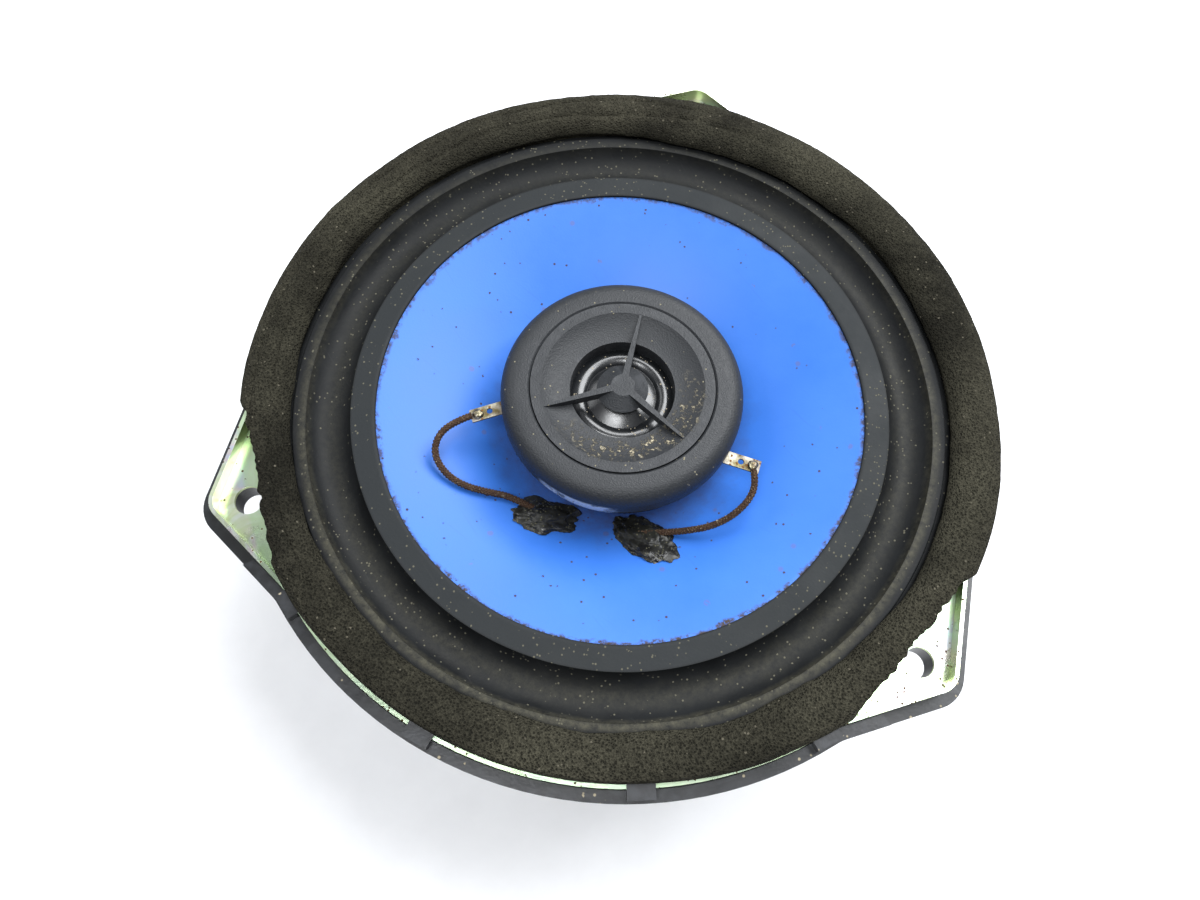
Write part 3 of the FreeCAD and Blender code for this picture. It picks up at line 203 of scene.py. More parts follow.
def remap(tree, value, low, high, start=0.0, end=1.0):
    return put(tree, "ShaderNodeMapRange", {0: value, 1: low, 2: high, 3: start, 4: end}).outputs[0]


def ramp(tree, value, stops):
    node = put(tree, "ShaderNodeValToRGB", {0: value})
    bar = node.color_ramp.elements
    while len(bar) < len(stops):
        bar.new(1.0)
    for element, (place, colour) in zip(bar, stops):
        element.position = place
        element.color = (*colour, 1)
    return node.outputs[0]


def newGroup(name, kind, inputs, outputs):
    tree = bpy.data.node_groups.new(name, kind)
    for direction, sockets in (("INPUT", inputs), ("OUTPUT", outputs)):
        for label, socketKind, value in sockets:
            socket = tree.interface.new_socket(label, in_out=direction, socket_type="NodeSocket" + socketKind)
            if value is not None:
                socket.default_value = value
    return tree, tree.nodes.new("NodeGroupInput").outputs, tree.nodes.new("NodeGroupOutput").inputs


def useGroup(tree, group, values):
    return put(tree, "ShaderNodeGroup", values, node_tree=group).outputs


def rgba(colour):
    return (*colour, 1)


# Camera

cameraSetup = {"eye": (9.194, -76.634, 175.415), "aim": (-1.679, -12.248, 7.54), "lens": 26.4, "roll": 4.143}


def makeCamera():
    camera = bpy.data.objects.new("camera", bpy.data.cameras.new("camera"))
    scene.collection.objects.link(camera)
    eye = Vector(cameraSetup["eye"]) * mm
    aim = Vector(cameraSetup["aim"]) * mm
    turn = (aim - eye).to_track_quat("-Z", "Y") @ Quaternion((0, 0, 1), math.radians(cameraSetup["roll"]))
    camera.matrix_world = Matrix.Translation(eye) @ turn.to_matrix().to_4x4()
    camera.data.lens = cameraSetup["lens"]
    camera.data.sensor_width = 36
    camera.data.clip_start = 0.005
    scene.camera = camera
    scene.view_settings.view_transform = "Standard"


makeCamera()
print("stage: camera")


# Shared effects

def makeGrainGroup():
    tree, given, made = newGroup("surfaceGrain", "ShaderNodeTree",
                                 [("Scale", "Float", 900.0), ("Patch Scale", "Float", 60.0)],
                                 [("Height", "Float", None), ("Patches", "Float", None)])
    place = objectPlace(tree)
    fine = cloudNoise(tree, place, given["Scale"], detail=3.0)
    cells = put(tree, "ShaderNodeTexVoronoi", {"Vector": place, "Scale": given["Scale"]}).outputs[0]
    broad = cloudNoise(tree, place, given["Patch Scale"], detail=5.0, roughness=0.62)
    tree.links.new(plus(tree, times(tree, fine, 0.6), times(tree, cells, 0.4)), made["Height"])
    tree.links.new(remap(tree, broad, 0.34, 0.66), made["Patches"])
    return tree


def makeDustGroup():
    tree, given, made = newGroup("settledDust", "ShaderNodeTree",
                                 [("Amount", "Float", 0.3), ("Speck Scale", "Float", 1500.0),
                                  ("Cloud Scale", "Float", 70.0), ("Film", "Float", 0.2)],
                                 [("Mask", "Float", None), ("Height", "Float", None)])
    place = objectPlace(tree)
    cells = put(tree, "ShaderNodeTexVoronoi", {"Vector": place, "Scale": given["Speck Scale"]})
    chance = put(tree, "ShaderNodeSeparateColor", {0: cells.outputs["Color"]}).outputs[0]
    clouds = cloudNoise(tree, place, given["Cloud Scale"], detail=6.0, roughness=0.68)
    crowd = remap(tree, clouds, 0.3, 0.72)
    kept = math2(tree, "LESS_THAN", chance, times(tree, crowd, given["Amount"]))
    reach = times(tree, chance, -0.3)
    grain = remap(tree, minus(tree, cells.outputs["Distance"], reach), 0.5, 0.32)
    speck = times(tree, kept, grain)
    film = times(tree, math2(tree, "POWER", crowd, 2.0), given["Film"])
    facing = splitPlace(tree, put(tree, "ShaderNodeNewGeometry").outputs["Normal"])[2]
    lying = remap(tree, facing, 0.0, 0.75)
    both = times(tree, math2(tree, "MAXIMUM", speck, film), lying, clamp=True)
    tree.links.new(both, made["Mask"])
    tree.links.new(times(tree, speck, lying), made["Height"])
    return tree


def makeScratchGroup():
    tree, given, made = newGroup("fineScratches", "ShaderNodeTree",
                                 [("Scale", "Float", 60.0), ("Amount", "Float", 0.5), ("Turn", "Float", 0.4)],
                                 [("Mask", "Float", None)])
    place = objectPlace(tree)
    masks = []
    for extra, stretch in ((0.0, (1, 26, 4)), (1.9, (30, 1, 4))):
        turn = put(tree, "ShaderNodeCombineXYZ", {2: plus(tree, given["Turn"], extra)}).outputs[0]
        turned = put(tree, "ShaderNodeVectorRotate", {"Vector": place, "Rotation": turn},
                     rotation_type="EULER_XYZ")
        long = put(tree, "ShaderNodeVectorMath", {0: turned.outputs[0], 1: stretch},
                   operation="MULTIPLY").outputs[0]
        lines = cloudNoise(tree, long, given["Scale"], detail=1.0)
        masks.append(remap(tree, lines, 0.69, 0.74))
    broken = cloudNoise(tree, place, 90.0)
    lines = times(tree, math2(tree, "MAXIMUM", *masks), remap(tree, broken, 0.45, 0.6))
    tree.links.new(times(tree, lines, given["Amount"], clamp=True), made["Mask"])
    return tree


def makeWearGroup():
    tree, given, made = newGroup("edgeWear", "ShaderNodeTree",
                                 [("Amount", "Float", 0.5), ("Scale", "Float", 500.0)],
                                 [("Mask", "Float", None)])
    place = objectPlace(tree)
    pointed = remap(tree, put(tree, "ShaderNodeNewGeometry").outputs["Pointiness"], 0.51, 0.56)
    ragged = cloudNoise(tree, place, given["Scale"], detail=4.0)
    worn = times(tree, pointed, remap(tree, ragged, 0.4, 0.62))
    tree.links.new(times(tree, worn, given["Amount"], clamp=True), made["Mask"])
    return tree


def makeRingGroup():
    # a ragged ring about the axis, stronger towards one side
    tree, given, made = newGroup("ringBand", "ShaderNodeTree",
                                 [("Inner", "Float", 0.04), ("Outer", "Float", 0.05),
                                  ("Soft", "Float", 0.002), ("Ragged", "Float", 0.001),
                                  ("Heading", "Float", -1.57), ("Bias", "Float", 0.0)],
                                 [("Mask", "Float", None), ("Radius", "Float", None)])
    place = objectPlace(tree)
    parts = splitPlace(tree, place)
    flat = put(tree, "ShaderNodeCombineXYZ", {0: parts[0], 1: parts[1]}).outputs[0]
    radius = put(tree, "ShaderNodeVectorMath", {0: flat}, operation="LENGTH").outputs["Value"]
    shake = cloudNoise(tree, place, 160.0, detail=5.0, roughness=0.7)
    shaken = plus(tree, radius, times(tree, minus(tree, shake, 0.5), times(tree, given["Ragged"], 4.0)))
    inside = math2(tree, "DIVIDE", minus(tree, shaken, given["Inner"]), given["Soft"], clamp=True)
    outside = math2(tree, "DIVIDE", minus(tree, given["Outer"], shaken), given["Soft"], clamp=True)
    angle = math2(tree, "ARCTAN2", parts[1], parts[0])
    toward = math2(tree, "COSINE", minus(tree, angle, given["Heading"]))
    side = times(tree, minus(tree, 1.0, toward), times(tree, given["Bias"], 0.5))
    ring = times(tree, times(tree, inside, outside), minus(tree, 1.0, side), clamp=True)
    tree.links.new(ring, made["Mask"])
    tree.links.new(radius, made["Radius"])
    return tree


def makeSmearGroup():
    # a torn film of dried glue around one place, below one level
    tree, given, made = newGroup("driedGlueSmear", "ShaderNodeTree",
                                 [("Place", "Vector", (0, 0, 0)), ("Size", "Float", 0.01),
                                  ("Low", "Float", 0.01)],
                                 [("Mask", "Float", None)])
    place = objectPlace(tree)
    away = put(tree, "ShaderNodeVectorMath", {0: place, 1: given["Place"]},
               operation="DISTANCE").outputs["Value"]
    near = minus(tree, 1.0, math2(tree, "DIVIDE", away, given["Size"]), clamp=True)
    height = splitPlace(tree, place)[2]
    below = times(tree, minus(tree, given["Low"], height), 900.0, clamp=True)
    torn = cloudNoise(tree, place, 380.0, detail=7.0, roughness=0.7, distortion=0.6)
    streaks = remap(tree, plus(tree, torn, times(tree, near, 0.3)), 0.5, 0.66)
    mask = times(tree, times(tree, streaks, below), times(tree, near, 3.0, clamp=True))
    tree.links.new(mask, made["Mask"])
    return tree


grainGroup = makeGrainGroup()
smearGroup = makeSmearGroup()
dustGroup = makeDustGroup()
scratchGroup = makeScratchGroup()
wearGroup = makeWearGroup()
ringGroup = makeRingGroup()
print("stage: shared effects")

dustBeige = (0.36, 0.31, 0.22)


def startFinish(name, look):
    finish = bpy.data.materials.new(name)
    finish.use_nodes = True
    tree = finish.node_tree
    shader = tree.nodes["Principled BSDF"]
    shader.inputs["Metallic"].default_value = look.get("metal", 0.0)
    shader.inputs["Specular IOR Level"].default_value = look.get("specular", 0.5)
    return finish, tree, shader


def endFinish(tree, shader, look, colour, rough, height):
    # the last layers that every finish has: scratches, worn edges, dust, and one bump for all of it
    scratches = useGroup(tree, scratchGroup,
                         {"Amount": look.get("scratch", 0.25), "Scale": look.get("scratchScale", 60.0)})
    wear = useGroup(tree, wearGroup, {"Amount": look.get("wear", 0.4)})
    dust = useGroup(tree, dustGroup,
                    {"Amount": look.get("dust", 0.05), "Speck Scale": look.get("speck", 1500.0),
                                      "Film": look.get("film", 0.0), "Cloud Scale": look.get("cloud", 70.0)})
    marked = math2(tree, "MAXIMUM", scratches["Mask"], wear["Mask"])
    colour = mixColour(tree, marked, colour, look.get("worn", look["colour"]))
    colour = mixColour(tree, dust["Mask"], colour, look.get("dustColour", dustBeige))
    rough = put(tree, "ShaderNodeMix", {0: dust["Mask"], 2: rough, 3: 0.9}).outputs[0]
    height = plus(tree, height, times(tree, dust["Height"], look.get("dustHeight", 0.6)))
    height = minus(tree, height, times(tree, scratches["Mask"], 0.3))
    bump = put(tree, "ShaderNodeBump", {"Height": height, "Distance": look.get("depth", 0.05) * mm})
    tree.links.new(colour, shader.inputs["Base Color"])
    tree.links.new(rough, shader.inputs["Roughness"])
    tree.links.new(bump.outputs[0], shader.inputs["Normal"])


def baseLayers(tree, look):
    grain = useGroup(tree, grainGroup,
                     {"Scale": look.get("grain", 900.0), "Patch Scale": look.get("patch", 60.0)})
    colour = mixColour(tree, grain["Patches"], look["colour"], look.get("second", look["colour"]))
    rough = remap(tree, grain["Patches"], 0.0, 1.0, *look["rough"])
    return grain, colour, rough


def makeFinish(name, look):
    finish, tree, shader = startFinish(name, look)
    grain, colour, rough = baseLayers(tree, look)
    height = grain["Height"]
    if "smear" in look:
        film = useGroup(tree, smearGroup, look["smear"])["Mask"]
        colour = mixColour(tree, film, colour, (0.46, 0.54, 0.66))
        height = plus(tree, height, times(tree, film, 2.5))
        rough = minus(tree, rough, times(tree, film, 0.2), clamp=True)
    if "ring" in look:
        crumbs = cloudNoise(tree, objectPlace(tree), 900.0, detail=6.0, roughness=0.75)
        ring = useGroup(tree, ringGroup, look["ring"])
        heap = times(tree, ring["Mask"], remap(tree, crumbs, 0.53, 0.6), clamp=True)
        colour = mixColour(tree, heap, colour, look["ringColour"])
        height = plus(tree, height, times(tree, heap, 2.0))
    endFinish(tree, shader, look, colour, rough, height)
    return finish


# Flexible leads from the tweeter's tabs to the cone

leadShape = {
    "radius": 0.7, "strands": 12, "strandRadius": 0.17, "turnLength": 4.2, "loose": 0.5,
    "samples": 190, "jitter": 0.00003, "weaving": 0.0001, "core": 0.86,
    "left": {"length": 0.0368,
             "route": [(-28.87, -11.92, 9.25), (-32.2, -14.2, 9.0), (-34.6, -17.4, 8.0), (-34.5, -21.0, 6.6),
                       (-31.6, -23.9, 5.0), (-27.3, -25.2, 3.7), (-22.4, -24.9, 2.2), (-17.7, -24.1, 0.5),
                       (-12.0, -25.3, -1.0)]},
    "right": {"length": 0.0316,
              "route": [(29.55, -9.68, 9.25), (30.6, -12.4, 8.9), (29.8, -15.9, 7.6), (27.3, -19.2, 5.7),
                        (23.8, -21.5, 3.6), (20.2, -22.6, 1.7), (17.3, -23.2, 0.0), (9.4, -25.3, -1.0)]}}


def makeBraidFinish():
    look = {"colour": (0.04, 0.021, 0.012), "second": (0.075, 0.042, 0.024), "metal": 0.1,
            "rough": (0.6, 0.8), "grain": 1900.0, "patch": 900.0, "specular": 0.25,
            "fleck": (0.4, 0.29, 0.18), "depth": 0.35}
    finish, tree, shader = startFinish("leadBraid", look)
    place = objectPlace(tree)
    grain, colour, rough = baseLayers(tree, look)
    cells = put(tree, "ShaderNodeTexVoronoi", {"Vector": place, "Scale": look["grain"]}).outputs["Distance"]
    picks = remap(tree, cells, 0.42, 0.2)
    fade = cloudNoise(tree, place, 700.0, detail=3.0)
    picks = times(tree, picks, remap(tree, fade, 0.4, 0.62))
    colour = mixColour(tree, picks, colour, look["fleck"])
    endFinish(tree, shader, look, colour, rough, plus(tree, picks, times(tree, grain["Height"], 0.3)))
    return finish


def routePoints(name, points):
    line = bpy.data.curves.new(name, "CURVE")
    line.dimensions = "3D"
    spline = line.splines.new("NURBS")
    spline.points.add(len(points) - 1)
    for spot, place in zip(spline.points, points):
        spot.co = (*(Vector(place) * mm), 1)
    spline.order_u = 3
    spline.use_endpoint_u = True
    spline.resolution_u = 16
    holder = bpy.data.objects.new(name, line)
    scene.collection.objects.link(holder)
    bpy.context.view_layer.update()
    mesh = bpy.data.meshes.new_from_object(holder)
    path = [Vector(vertex.co) for vertex in mesh.vertices]
    bpy.data.objects.remove(holder)
    return path


def makeBraidTree():
    tree, given, made = newGroup("braidAlongRoute", "GeometryNodeTree",
                                 [("Geometry", "Geometry", None), ("Strands", "Int", 10),
                                  ("Strand Radius", "Float", 0.0002), ("Lay Radius", "Float", 0.0005),
                                  ("Turns", "Float", 7.0), ("Seed", "Int", 4), ("Finish", "Material", None)],
                                 [("Geometry", "Geometry", None)])
    line = put(tree, "GeometryNodeMeshToCurve", {0: given["Geometry"]}).outputs[0]
    fine = put(tree, "GeometryNodeResampleCurve", {"Curve": line, "Count": leadShape["samples"]}).outputs[0]
    copies = put(tree, "GeometryNodeDuplicateElements", {"Geometry": fine, "Amount": given["Strands"]},
                 domain="SPLINE")
    number = copies.outputs["Duplicate Index"]
    along = put(tree, "GeometryNodeSplineParameter").outputs["Factor"]
    phase = math2(tree, "DIVIDE", times(tree, number, 2 * math.pi), given["Strands"])
    way = minus(tree, times(tree, math2(tree, "MODULO", number, 2.0), 2.0), 1.0)
    turned = times(tree, times(tree, along, 2 * math.pi), given["Turns"])
    angle = plus(tree, times(tree, turned, way), phase)
    jitter = put(tree, "FunctionNodeRandomValue",
                 {2: -leadShape["jitter"], 3: leadShape["jitter"], "Seed": given["Seed"]}).outputs[1]
    over = times(tree, math2(tree, "SINE", times(tree, turned, 6.0)), leadShape["weaving"])
    away = plus(tree, given["Lay Radius"], plus(tree, over, jitter))
    normal = put(tree, "GeometryNodeInputNormal").outputs[0]
    tangent = put(tree, "GeometryNodeInputTangent").outputs[0]
    side = put(tree, "ShaderNodeVectorMath", {0: tangent, 1: normal}, operation="CROSS_PRODUCT").outputs[0]
    firstPart = put(tree, "ShaderNodeVectorMath", {0: normal}, operation="SCALE")
    tree.links.new(times(tree, math2(tree, "COSINE", angle), away), firstPart.inputs["Scale"])
    otherPart = put(tree, "ShaderNodeVectorMath", {0: side}, operation="SCALE")
    tree.links.new(times(tree, math2(tree, "SINE", angle), away), otherPart.inputs["Scale"])
    offset = put(tree, "ShaderNodeVectorMath", {0: firstPart.outputs[0], 1: otherPart.outputs[0]}).outputs[0]
    laid = put(tree, "GeometryNodeSetPosition", {"Geometry": copies.outputs[0], "Offset": offset}).outputs[0]
    coreRadius = times(tree, given["Lay Radius"], leadShape["core"])
    round6 = put(tree, "GeometryNodeCurvePrimitiveCircle",
                 {"Resolution": 6, "Radius": given["Strand Radius"]}).outputs[0]
    round10 = put(tree, "GeometryNodeCurvePrimitiveCircle",
                  {"Resolution": 10, "Radius": coreRadius}).outputs[0]
    strands = put(tree, "GeometryNodeCurveToMesh",
                  {"Curve": laid, "Profile Curve": round6, "Fill Caps": True}).outputs[0]
    core = put(tree, "GeometryNodeCurveToMesh",
               {"Curve": fine, "Profile Curve": round10, "Fill Caps": True}).outputs[0]
    joined = put(tree, "GeometryNodeJoinGeometry")
    tree.links.new(strands, joined.inputs[0])
    tree.links.new(core, joined.inputs[0])
    smooth = put(tree, "GeometryNodeSetShadeSmooth", {"Geometry": joined.outputs[0]}).outputs[0]
    real = put(tree, "GeometryNodeRealizeInstances", {"Geometry": smooth}).outputs[0]
    tree.links.new(put(tree, "GeometryNodeSetMaterial",
                       {"Geometry": real, "Material": given["Finish"]}).outputs[0], made[0])
    return tree


def grow(name, mesh, tree, values):
    # runs a geometry tree on a mesh and keeps the result as a plain mesh
    holder = bpy.data.objects.new(name, mesh)
    scene.collection.objects.link(holder)
    modifier = holder.modifiers.new(name, "NODES")
    modifier.node_group = tree
    for item in tree.interface.items_tree:
        if item.in_out == "INPUT" and item.name in values:
            modifier[item.identifier] = values[item.name]
    ready = holder.evaluated_get(bpy.context.evaluated_depsgraph_get())
    result = bpy.data.meshes.new_from_object(ready)
    holder.modifiers.clear()
    bpy.data.objects.remove(holder)
    return result


def shareAlong(path):
    # how far along the path a vertex lies, from 0 to 1
    line = numpy.array([tuple(point) for point in path])
    steps = numpy.linalg.norm(numpy.diff(line, axis=0), axis=1)
    reached = numpy.concatenate([[0.0], numpy.cumsum(steps)])
    ways = numpy.gradient(line, axis=0)
    ways /= numpy.linalg.norm(ways, axis=1, keepdims=True)

    def measure(spots):
        nearest = numpy.array([((line - spot) ** 2).sum(axis=1).argmin() for spot in spots])
        ahead = ((spots - line[nearest]) * ways[nearest]).sum(axis=1)
        return (reached[nearest] + ahead) / reached[-1]
    return measure


def makeLeads():
    finish = makeBraidFinish()
    tree = makeBraidTree()
    radius = leadShape["radius"] * mm
    for side in ("left", "right"):
        facts = leadShape[side]
        path = routePoints("leadRoute", facts["route"])
        line = bpy.data.meshes.new("leadLine")
        line.from_pydata(path, [(index, index + 1) for index in range(len(path) - 1)], [])
        mesh = grow("leadStrands", line, tree,
                    {"Strands": leadShape["strands"], "Strand Radius": leadShape["strandRadius"] * mm,
                     "Lay Radius": radius - leadShape["strandRadius"] * mm,
                     "Turns": facts["length"] / mm / leadShape["turnLength"], "Seed": 4, "Finish": finish})
        lead = addPiece("tweeterLead" + side.title(), mesh)
        measuredBlend(lead, shareAlong(path), leadShape["loose"])
        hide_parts("tweeter_lead_" + side)
        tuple(path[0])


makeLeads()
print("stage: leads")


# Foam gasket: a soft ring cut by hand, so its edges wander

foamShape = {
    "inner": 69.3, "outer": 78.2, "seat": 75.1, "foot": 5.6, "ledge": 9.75, "crest": (73.2, 12.1),
    "still": 7.8, "ease": 0.6, "topFrom": 9.0, "steps": 1080,
    # heading in degrees: inner edge shift, overhang from 0 to 1, crest height shift
    "edges": [(0, -0.8, 1.0, 0.0), (35, -0.7, 1.0, 0.0), (62, -1.4, 1.0, 0.1), (88, -2.6, 1.0, 0.2),
              (110, -0.8, 1.0, 0.1), (150, -0.3, 1.0, 0.0), (175, -0.7, 1.0, 0.0), (205, -1.6, 0.8, 0.0),
              (228, -2.2, 0.3, 0.0), (240, -2.4, 0.12, -0.1),
              (262, -2.7, 0.1, -0.2), (285, -2.7, 0.12, -0.2), (305, -2.2, 0.3, 0.0), (330, -1.4, 0.8, 0.0)],
    "earHeadings": (210, 330), "earEdge": 74.2, "earHalfWidth": 16.6,
    # creases in the top: radius, depth, first and last heading
    "creases": ((71.9, 0.5, 60, 250), (75.2, 0.5, 75, 240)), "creaseWidth": 0.35}


def foamEdges(angle):
    # smooth values between the listed headings
    degrees = math.degrees(angle) % 360
    stops = foamShape["edges"]
    stops = stops + [(stops[0][0] + 360, *stops[0][1:])]
    for first, last in zip(stops, stops[1:]):
        if first[0] <= degrees <= last[0]:
            share = (degrees - first[0]) / (last[0] - first[0])
            share = share * share * (3 - 2 * share)
            return [a + (b - a) * share for a, b in zip(first[1:], last[1:])]


def foamProfile():
    inner, outer, seat = foamShape["inner"], foamShape["outer"], foamShape["seat"]
    foot, ledge, crest = foamShape["foot"], foamShape["ledge"], foamShape["crest"]
    points = bow((inner, foot), (seat, foot), 0, 5)
    points += bow((seat, foot), (seat, ledge), 0, 6)
    points += bow((seat, ledge), (outer, ledge), 0, 6)
    points += bow((outer, ledge), (outer - 0.1, ledge + 0.9), -0.2, 3)
    points += bow((outer - 0.1, ledge + 0.9), crest, -0.35, 13)
    points += bow(crest, (inner + 0.1, foamShape["topFrom"]), -0.75, 13)
    points += bow((inner + 0.1, foamShape["topFrom"]), (inner, 8.0), 0, 4)
    points += bow((inner, 8.0), (inner, foot), 0, 5)
    return points


def foamWander(angle, radius, height):
    shift, overhang, lift = foamEdges(angle)
    crestRadius = foamShape["crest"][0]
    around = (math.cos(angle), math.sin(angle), 0)
    top = min(1.0, max(0.0, (height - foamShape["still"]) / foamShape["ease"]))
    if radius < crestRadius:
        share = (crestRadius - radius) / (crestRadius - foamShape["inner"])
        radius += (shift + wobble(around, 4, 0.8, 3.0) + wobble(around, 26, 0.25, 8.0)) * share * top
    if radius > foamShape["seat"]:
        waver = 1 + wobble(around, 4, 0.14, 5.0)
        radius = foamShape["seat"] + (radius - foamShape["seat"]) * overhang * waver
    for heading in foamShape["earHeadings"]:
        away = math.remainder(angle - math.radians(heading), 2 * math.pi)
        across = abs(math.sin(away)) * radius
        if abs(away) < 0.6 and across < foamShape["earHalfWidth"] + 3:
            limit = foamShape["earEdge"] + wobble(around, 60, 0.6, 1.0) + wobble(around, 17, 0.5, 2.0)
            limit /= math.cos(away)
            ease = min(1.0, max(0.0, (foamShape["earHalfWidth"] + 3 - across) / 3))
            radius -= max(0.0, radius - limit) * ease
    if height > foamShape["topFrom"]:
        creases = 0.0
        heading = math.degrees(angle) % 360
        for crease, depth, first, last in foamShape["creases"]:
            if first < heading < last:
                ends = min(1.0, (heading - first) / 20, (last - heading) / 20)
                aside = radius - crease + wobble(around, 5, 0.8, crease)
                creases += depth * ends * math.exp(-(aside / foamShape["creaseWidth"]) ** 2)
        height += lift * top - creases
        spot = (radius * around[0], radius * around[1], height)
        height += wobble(spot, 0.35, 0.16, 6.0) + wobble(spot, 1.3, 0.1, 2.0)
    return radius, height


def makeFoamFinish():
    look = {"colour": (0.016, 0.015, 0.011), "second": (0.052, 0.049, 0.035), "rough": (0.85, 0.97),
            "grain": 1700.0, "patch": 45.0, "depth": 0.42, "specular": 0.06, "dust": 0.03, "speck": 1900.0,
            "wear": 0.0, "scratch": 0.0, "dustHeight": 0.1, "dustColour": (0.11, 0.1, 0.075)}
    finish, tree, shader = startFinish("foamRing", look)
    place = objectPlace(tree)
    grain, colour, rough = baseLayers(tree, look)
    side = useGroup(tree, ringGroup, {"Inner": 0.05, "Outer": 0.09, "Heading": -1.5, "Bias": 0.75})
    drift = put(tree, "ShaderNodeTexNoise", {"Vector": place, "Scale": 900.0, "Detail": 2.0}).outputs["Color"]
    warped = put(tree, "ShaderNodeVectorMath", {0: drift, 1: (0.0006, 0.0006, 0.0006), 2: place},
                 operation="MULTIPLY_ADD").outputs[0]
    wide = put(tree, "ShaderNodeTexVoronoi", {"Vector": warped, "Scale": 1900.0})
    small = put(tree, "ShaderNodeTexVoronoi", {"Vector": warped, "Scale": 3600.0})
    # painted shade: the pits and finer pores are mixed near black as the shade inside them, a little more
    # towards the front (-y) side; the same mask also sinks the bump
    pits = remap(tree, wide.outputs["Distance"], 0.55, 0.12)
    tiny = remap(tree, small.outputs["Distance"], 0.6, 0.15)
    pores = times(tree, pits, remap(tree, side["Mask"], 0.3, 1.0, 0.8, 1.0))
    poreShade = times(tree, math2(tree, "MAXIMUM", pores, times(tree, tiny, 0.45)), 0.85)
    colour = mixColour(tree, poreShade, colour, (0.006, 0.006, 0.005))
    height = minus(tree, times(tree, grain["Height"], 0.25), poreShade)
    endFinish(tree, shader, look, colour, rough, height)
    return finish


def makeFoam():
    mesh = turnedMesh("foamRing", foamProfile(), foamShape["steps"], foamWander, crease=60)
    foam = addPiece("foamRing", mesh, makeFoamFinish())
    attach(foam, "chassis")
    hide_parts("foam_gasket")


makeFoam()
print("stage: foam")


# Woofer: surround, cone, spider and the glue that holds the leads

surroundShape = {"lipInner": 51.0, "lipBottom": 7.54, "lipTop": 8.1, "rollCentre": (60.7, 8.9),
                 "rollTop": 4.75, "rollUnder": 5.35, "beadInner": 65.4, "beadOuter": 68.0, "flange": 69.25,
                 "stiff": 56.0, "round": 0.3, "corner": 0.2, "nick": 0.12,
                 "step": 6.9, "band": 7.54, "tray": 5.5, "steps": 360}


def surroundProfile():
    s = surroundShape
    x, z = s["rollCentre"]
    lipAngle = 180 + math.degrees(math.asin((z - s["lipTop"]) / s["rollTop"]))
    bandAngle = 360 - math.degrees(math.asin((z - s["band"]) / s["rollTop"]))
    underLip = 180 + math.degrees(math.asin((z - s["lipBottom"]) / s["rollUnder"]))
    underBead = 270 + math.degrees(math.asin((s["beadInner"] - x) / s["rollUnder"]))
    points = bow((s["lipInner"], s["lipBottom"]),
                 (x + s["rollUnder"] * math.cos(math.radians(underLip)), s["lipBottom"]), 0, 3)
    points += arc(s["rollCentre"], s["rollUnder"], underLip, underBead, 22)
    points += [(s["beadInner"], s["tray"]), (s["flange"], s["tray"]), (s["flange"], s["step"] - s["corner"])]
    points += [(s["flange"] - s["corner"], s["step"]), (s["beadOuter"] + 0.15, s["step"])]
    points += arc((s["beadOuter"] - s["round"], s["band"] - s["round"]), s["round"], 0, 90, 5)
    points += bow((s["beadOuter"] - 0.55, s["band"]),
                  (x + s["rollTop"] * math.cos(math.radians(bandAngle)), s["band"]), 0, 6)
    points += arc(s["rollCentre"], s["rollTop"], bandAngle, lipAngle, 30)
    points += bow((x + s["rollTop"] * math.cos(math.radians(lipAngle)) - s["corner"], s["lipTop"]),
                  (s["lipInner"] + s["nick"], s["lipTop"]), 0, 6)
    points += [(s["lipInner"] + s["nick"], s["lipTop"]), (s["lipInner"], s["lipTop"] - s["nick"])]
    return points


def makeRubberFinish():
    look = {"colour": (0.0065, 0.0072, 0.008), "second": (0.011, 0.012, 0.013), "rough": (0.5, 0.66),
            "grain": 1500.0, "patch": 90.0, "depth": 0.04, "dust": 0.1, "film": 0.04, "speck": 2000.0,
            "cloud": 60.0, "wear": 0.0, "specular": 0.15, "scratch": 0.1, "dustColour": (0.1, 0.095, 0.07),
            "worn": (0.05, 0.05, 0.05)}
    finish, tree, shader = startFinish("surroundRubber", look)
    grain, colour, rough = baseLayers(tree, look)
    # painted light: the lip ring is mixed to a lighter grey so the flat lip looks lit from above
    lip = useGroup(tree, ringGroup, {"Inner": 0.0508, "Outer": 0.0562, "Soft": 0.0006, "Ragged": 0.0001})
    crest = useGroup(tree, ringGroup, {"Inner": 0.0642, "Outer": 0.0672, "Soft": 0.0016, "Ragged": 0.0003,
                                       "Heading": -1.3, "Bias": 0.8})
    trough = useGroup(tree, ringGroup, {"Inner": 0.0575, "Outer": 0.0635, "Soft": 0.003, "Ragged": 0.001,
                                        "Heading": -1.1, "Bias": 0.6})
    powder = cloudNoise(tree, objectPlace(tree), 700.0, detail=6.0, roughness=0.75)
    colour = mixColour(tree, times(tree, lip["Mask"], 0.85), colour, (0.019, 0.022, 0.024))
    # the soil on the crest and in the trough is partly settled dust and partly a painted highlight along the
    # crest, strongest towards the front (-y) side
    soil = math2(tree, "MAXIMUM", crest["Mask"], times(tree, trough["Mask"], 0.3))
    soil = times(tree, soil, remap(tree, powder, 0.3, 0.75), clamp=True)
    colour = mixColour(tree, soil, colour, (0.1, 0.094, 0.065))
    endFinish(tree, shader, look, colour, rough, plus(tree, grain["Height"], soil))
    return finish


def makeSurround():
    mesh = turnedMesh("surroundRoll", surroundProfile(), surroundShape["steps"], crease=50)
    surround = addPiece("surroundRoll", mesh, makeRubberFinish())
    radialBlend(surround, surroundShape["beadInner"], surroundShape["stiff"])
    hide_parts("surround")


coneShape = {"neck": 13.0, "neckTop": -10.7, "neckFoot": -12.3, "edge": 51.0, "top": 7.54, "flange": 55.2,
             "wall": 0.6, "rise": 1.48, "lap": 0.4, "slant": 1.1, "steps": 300}


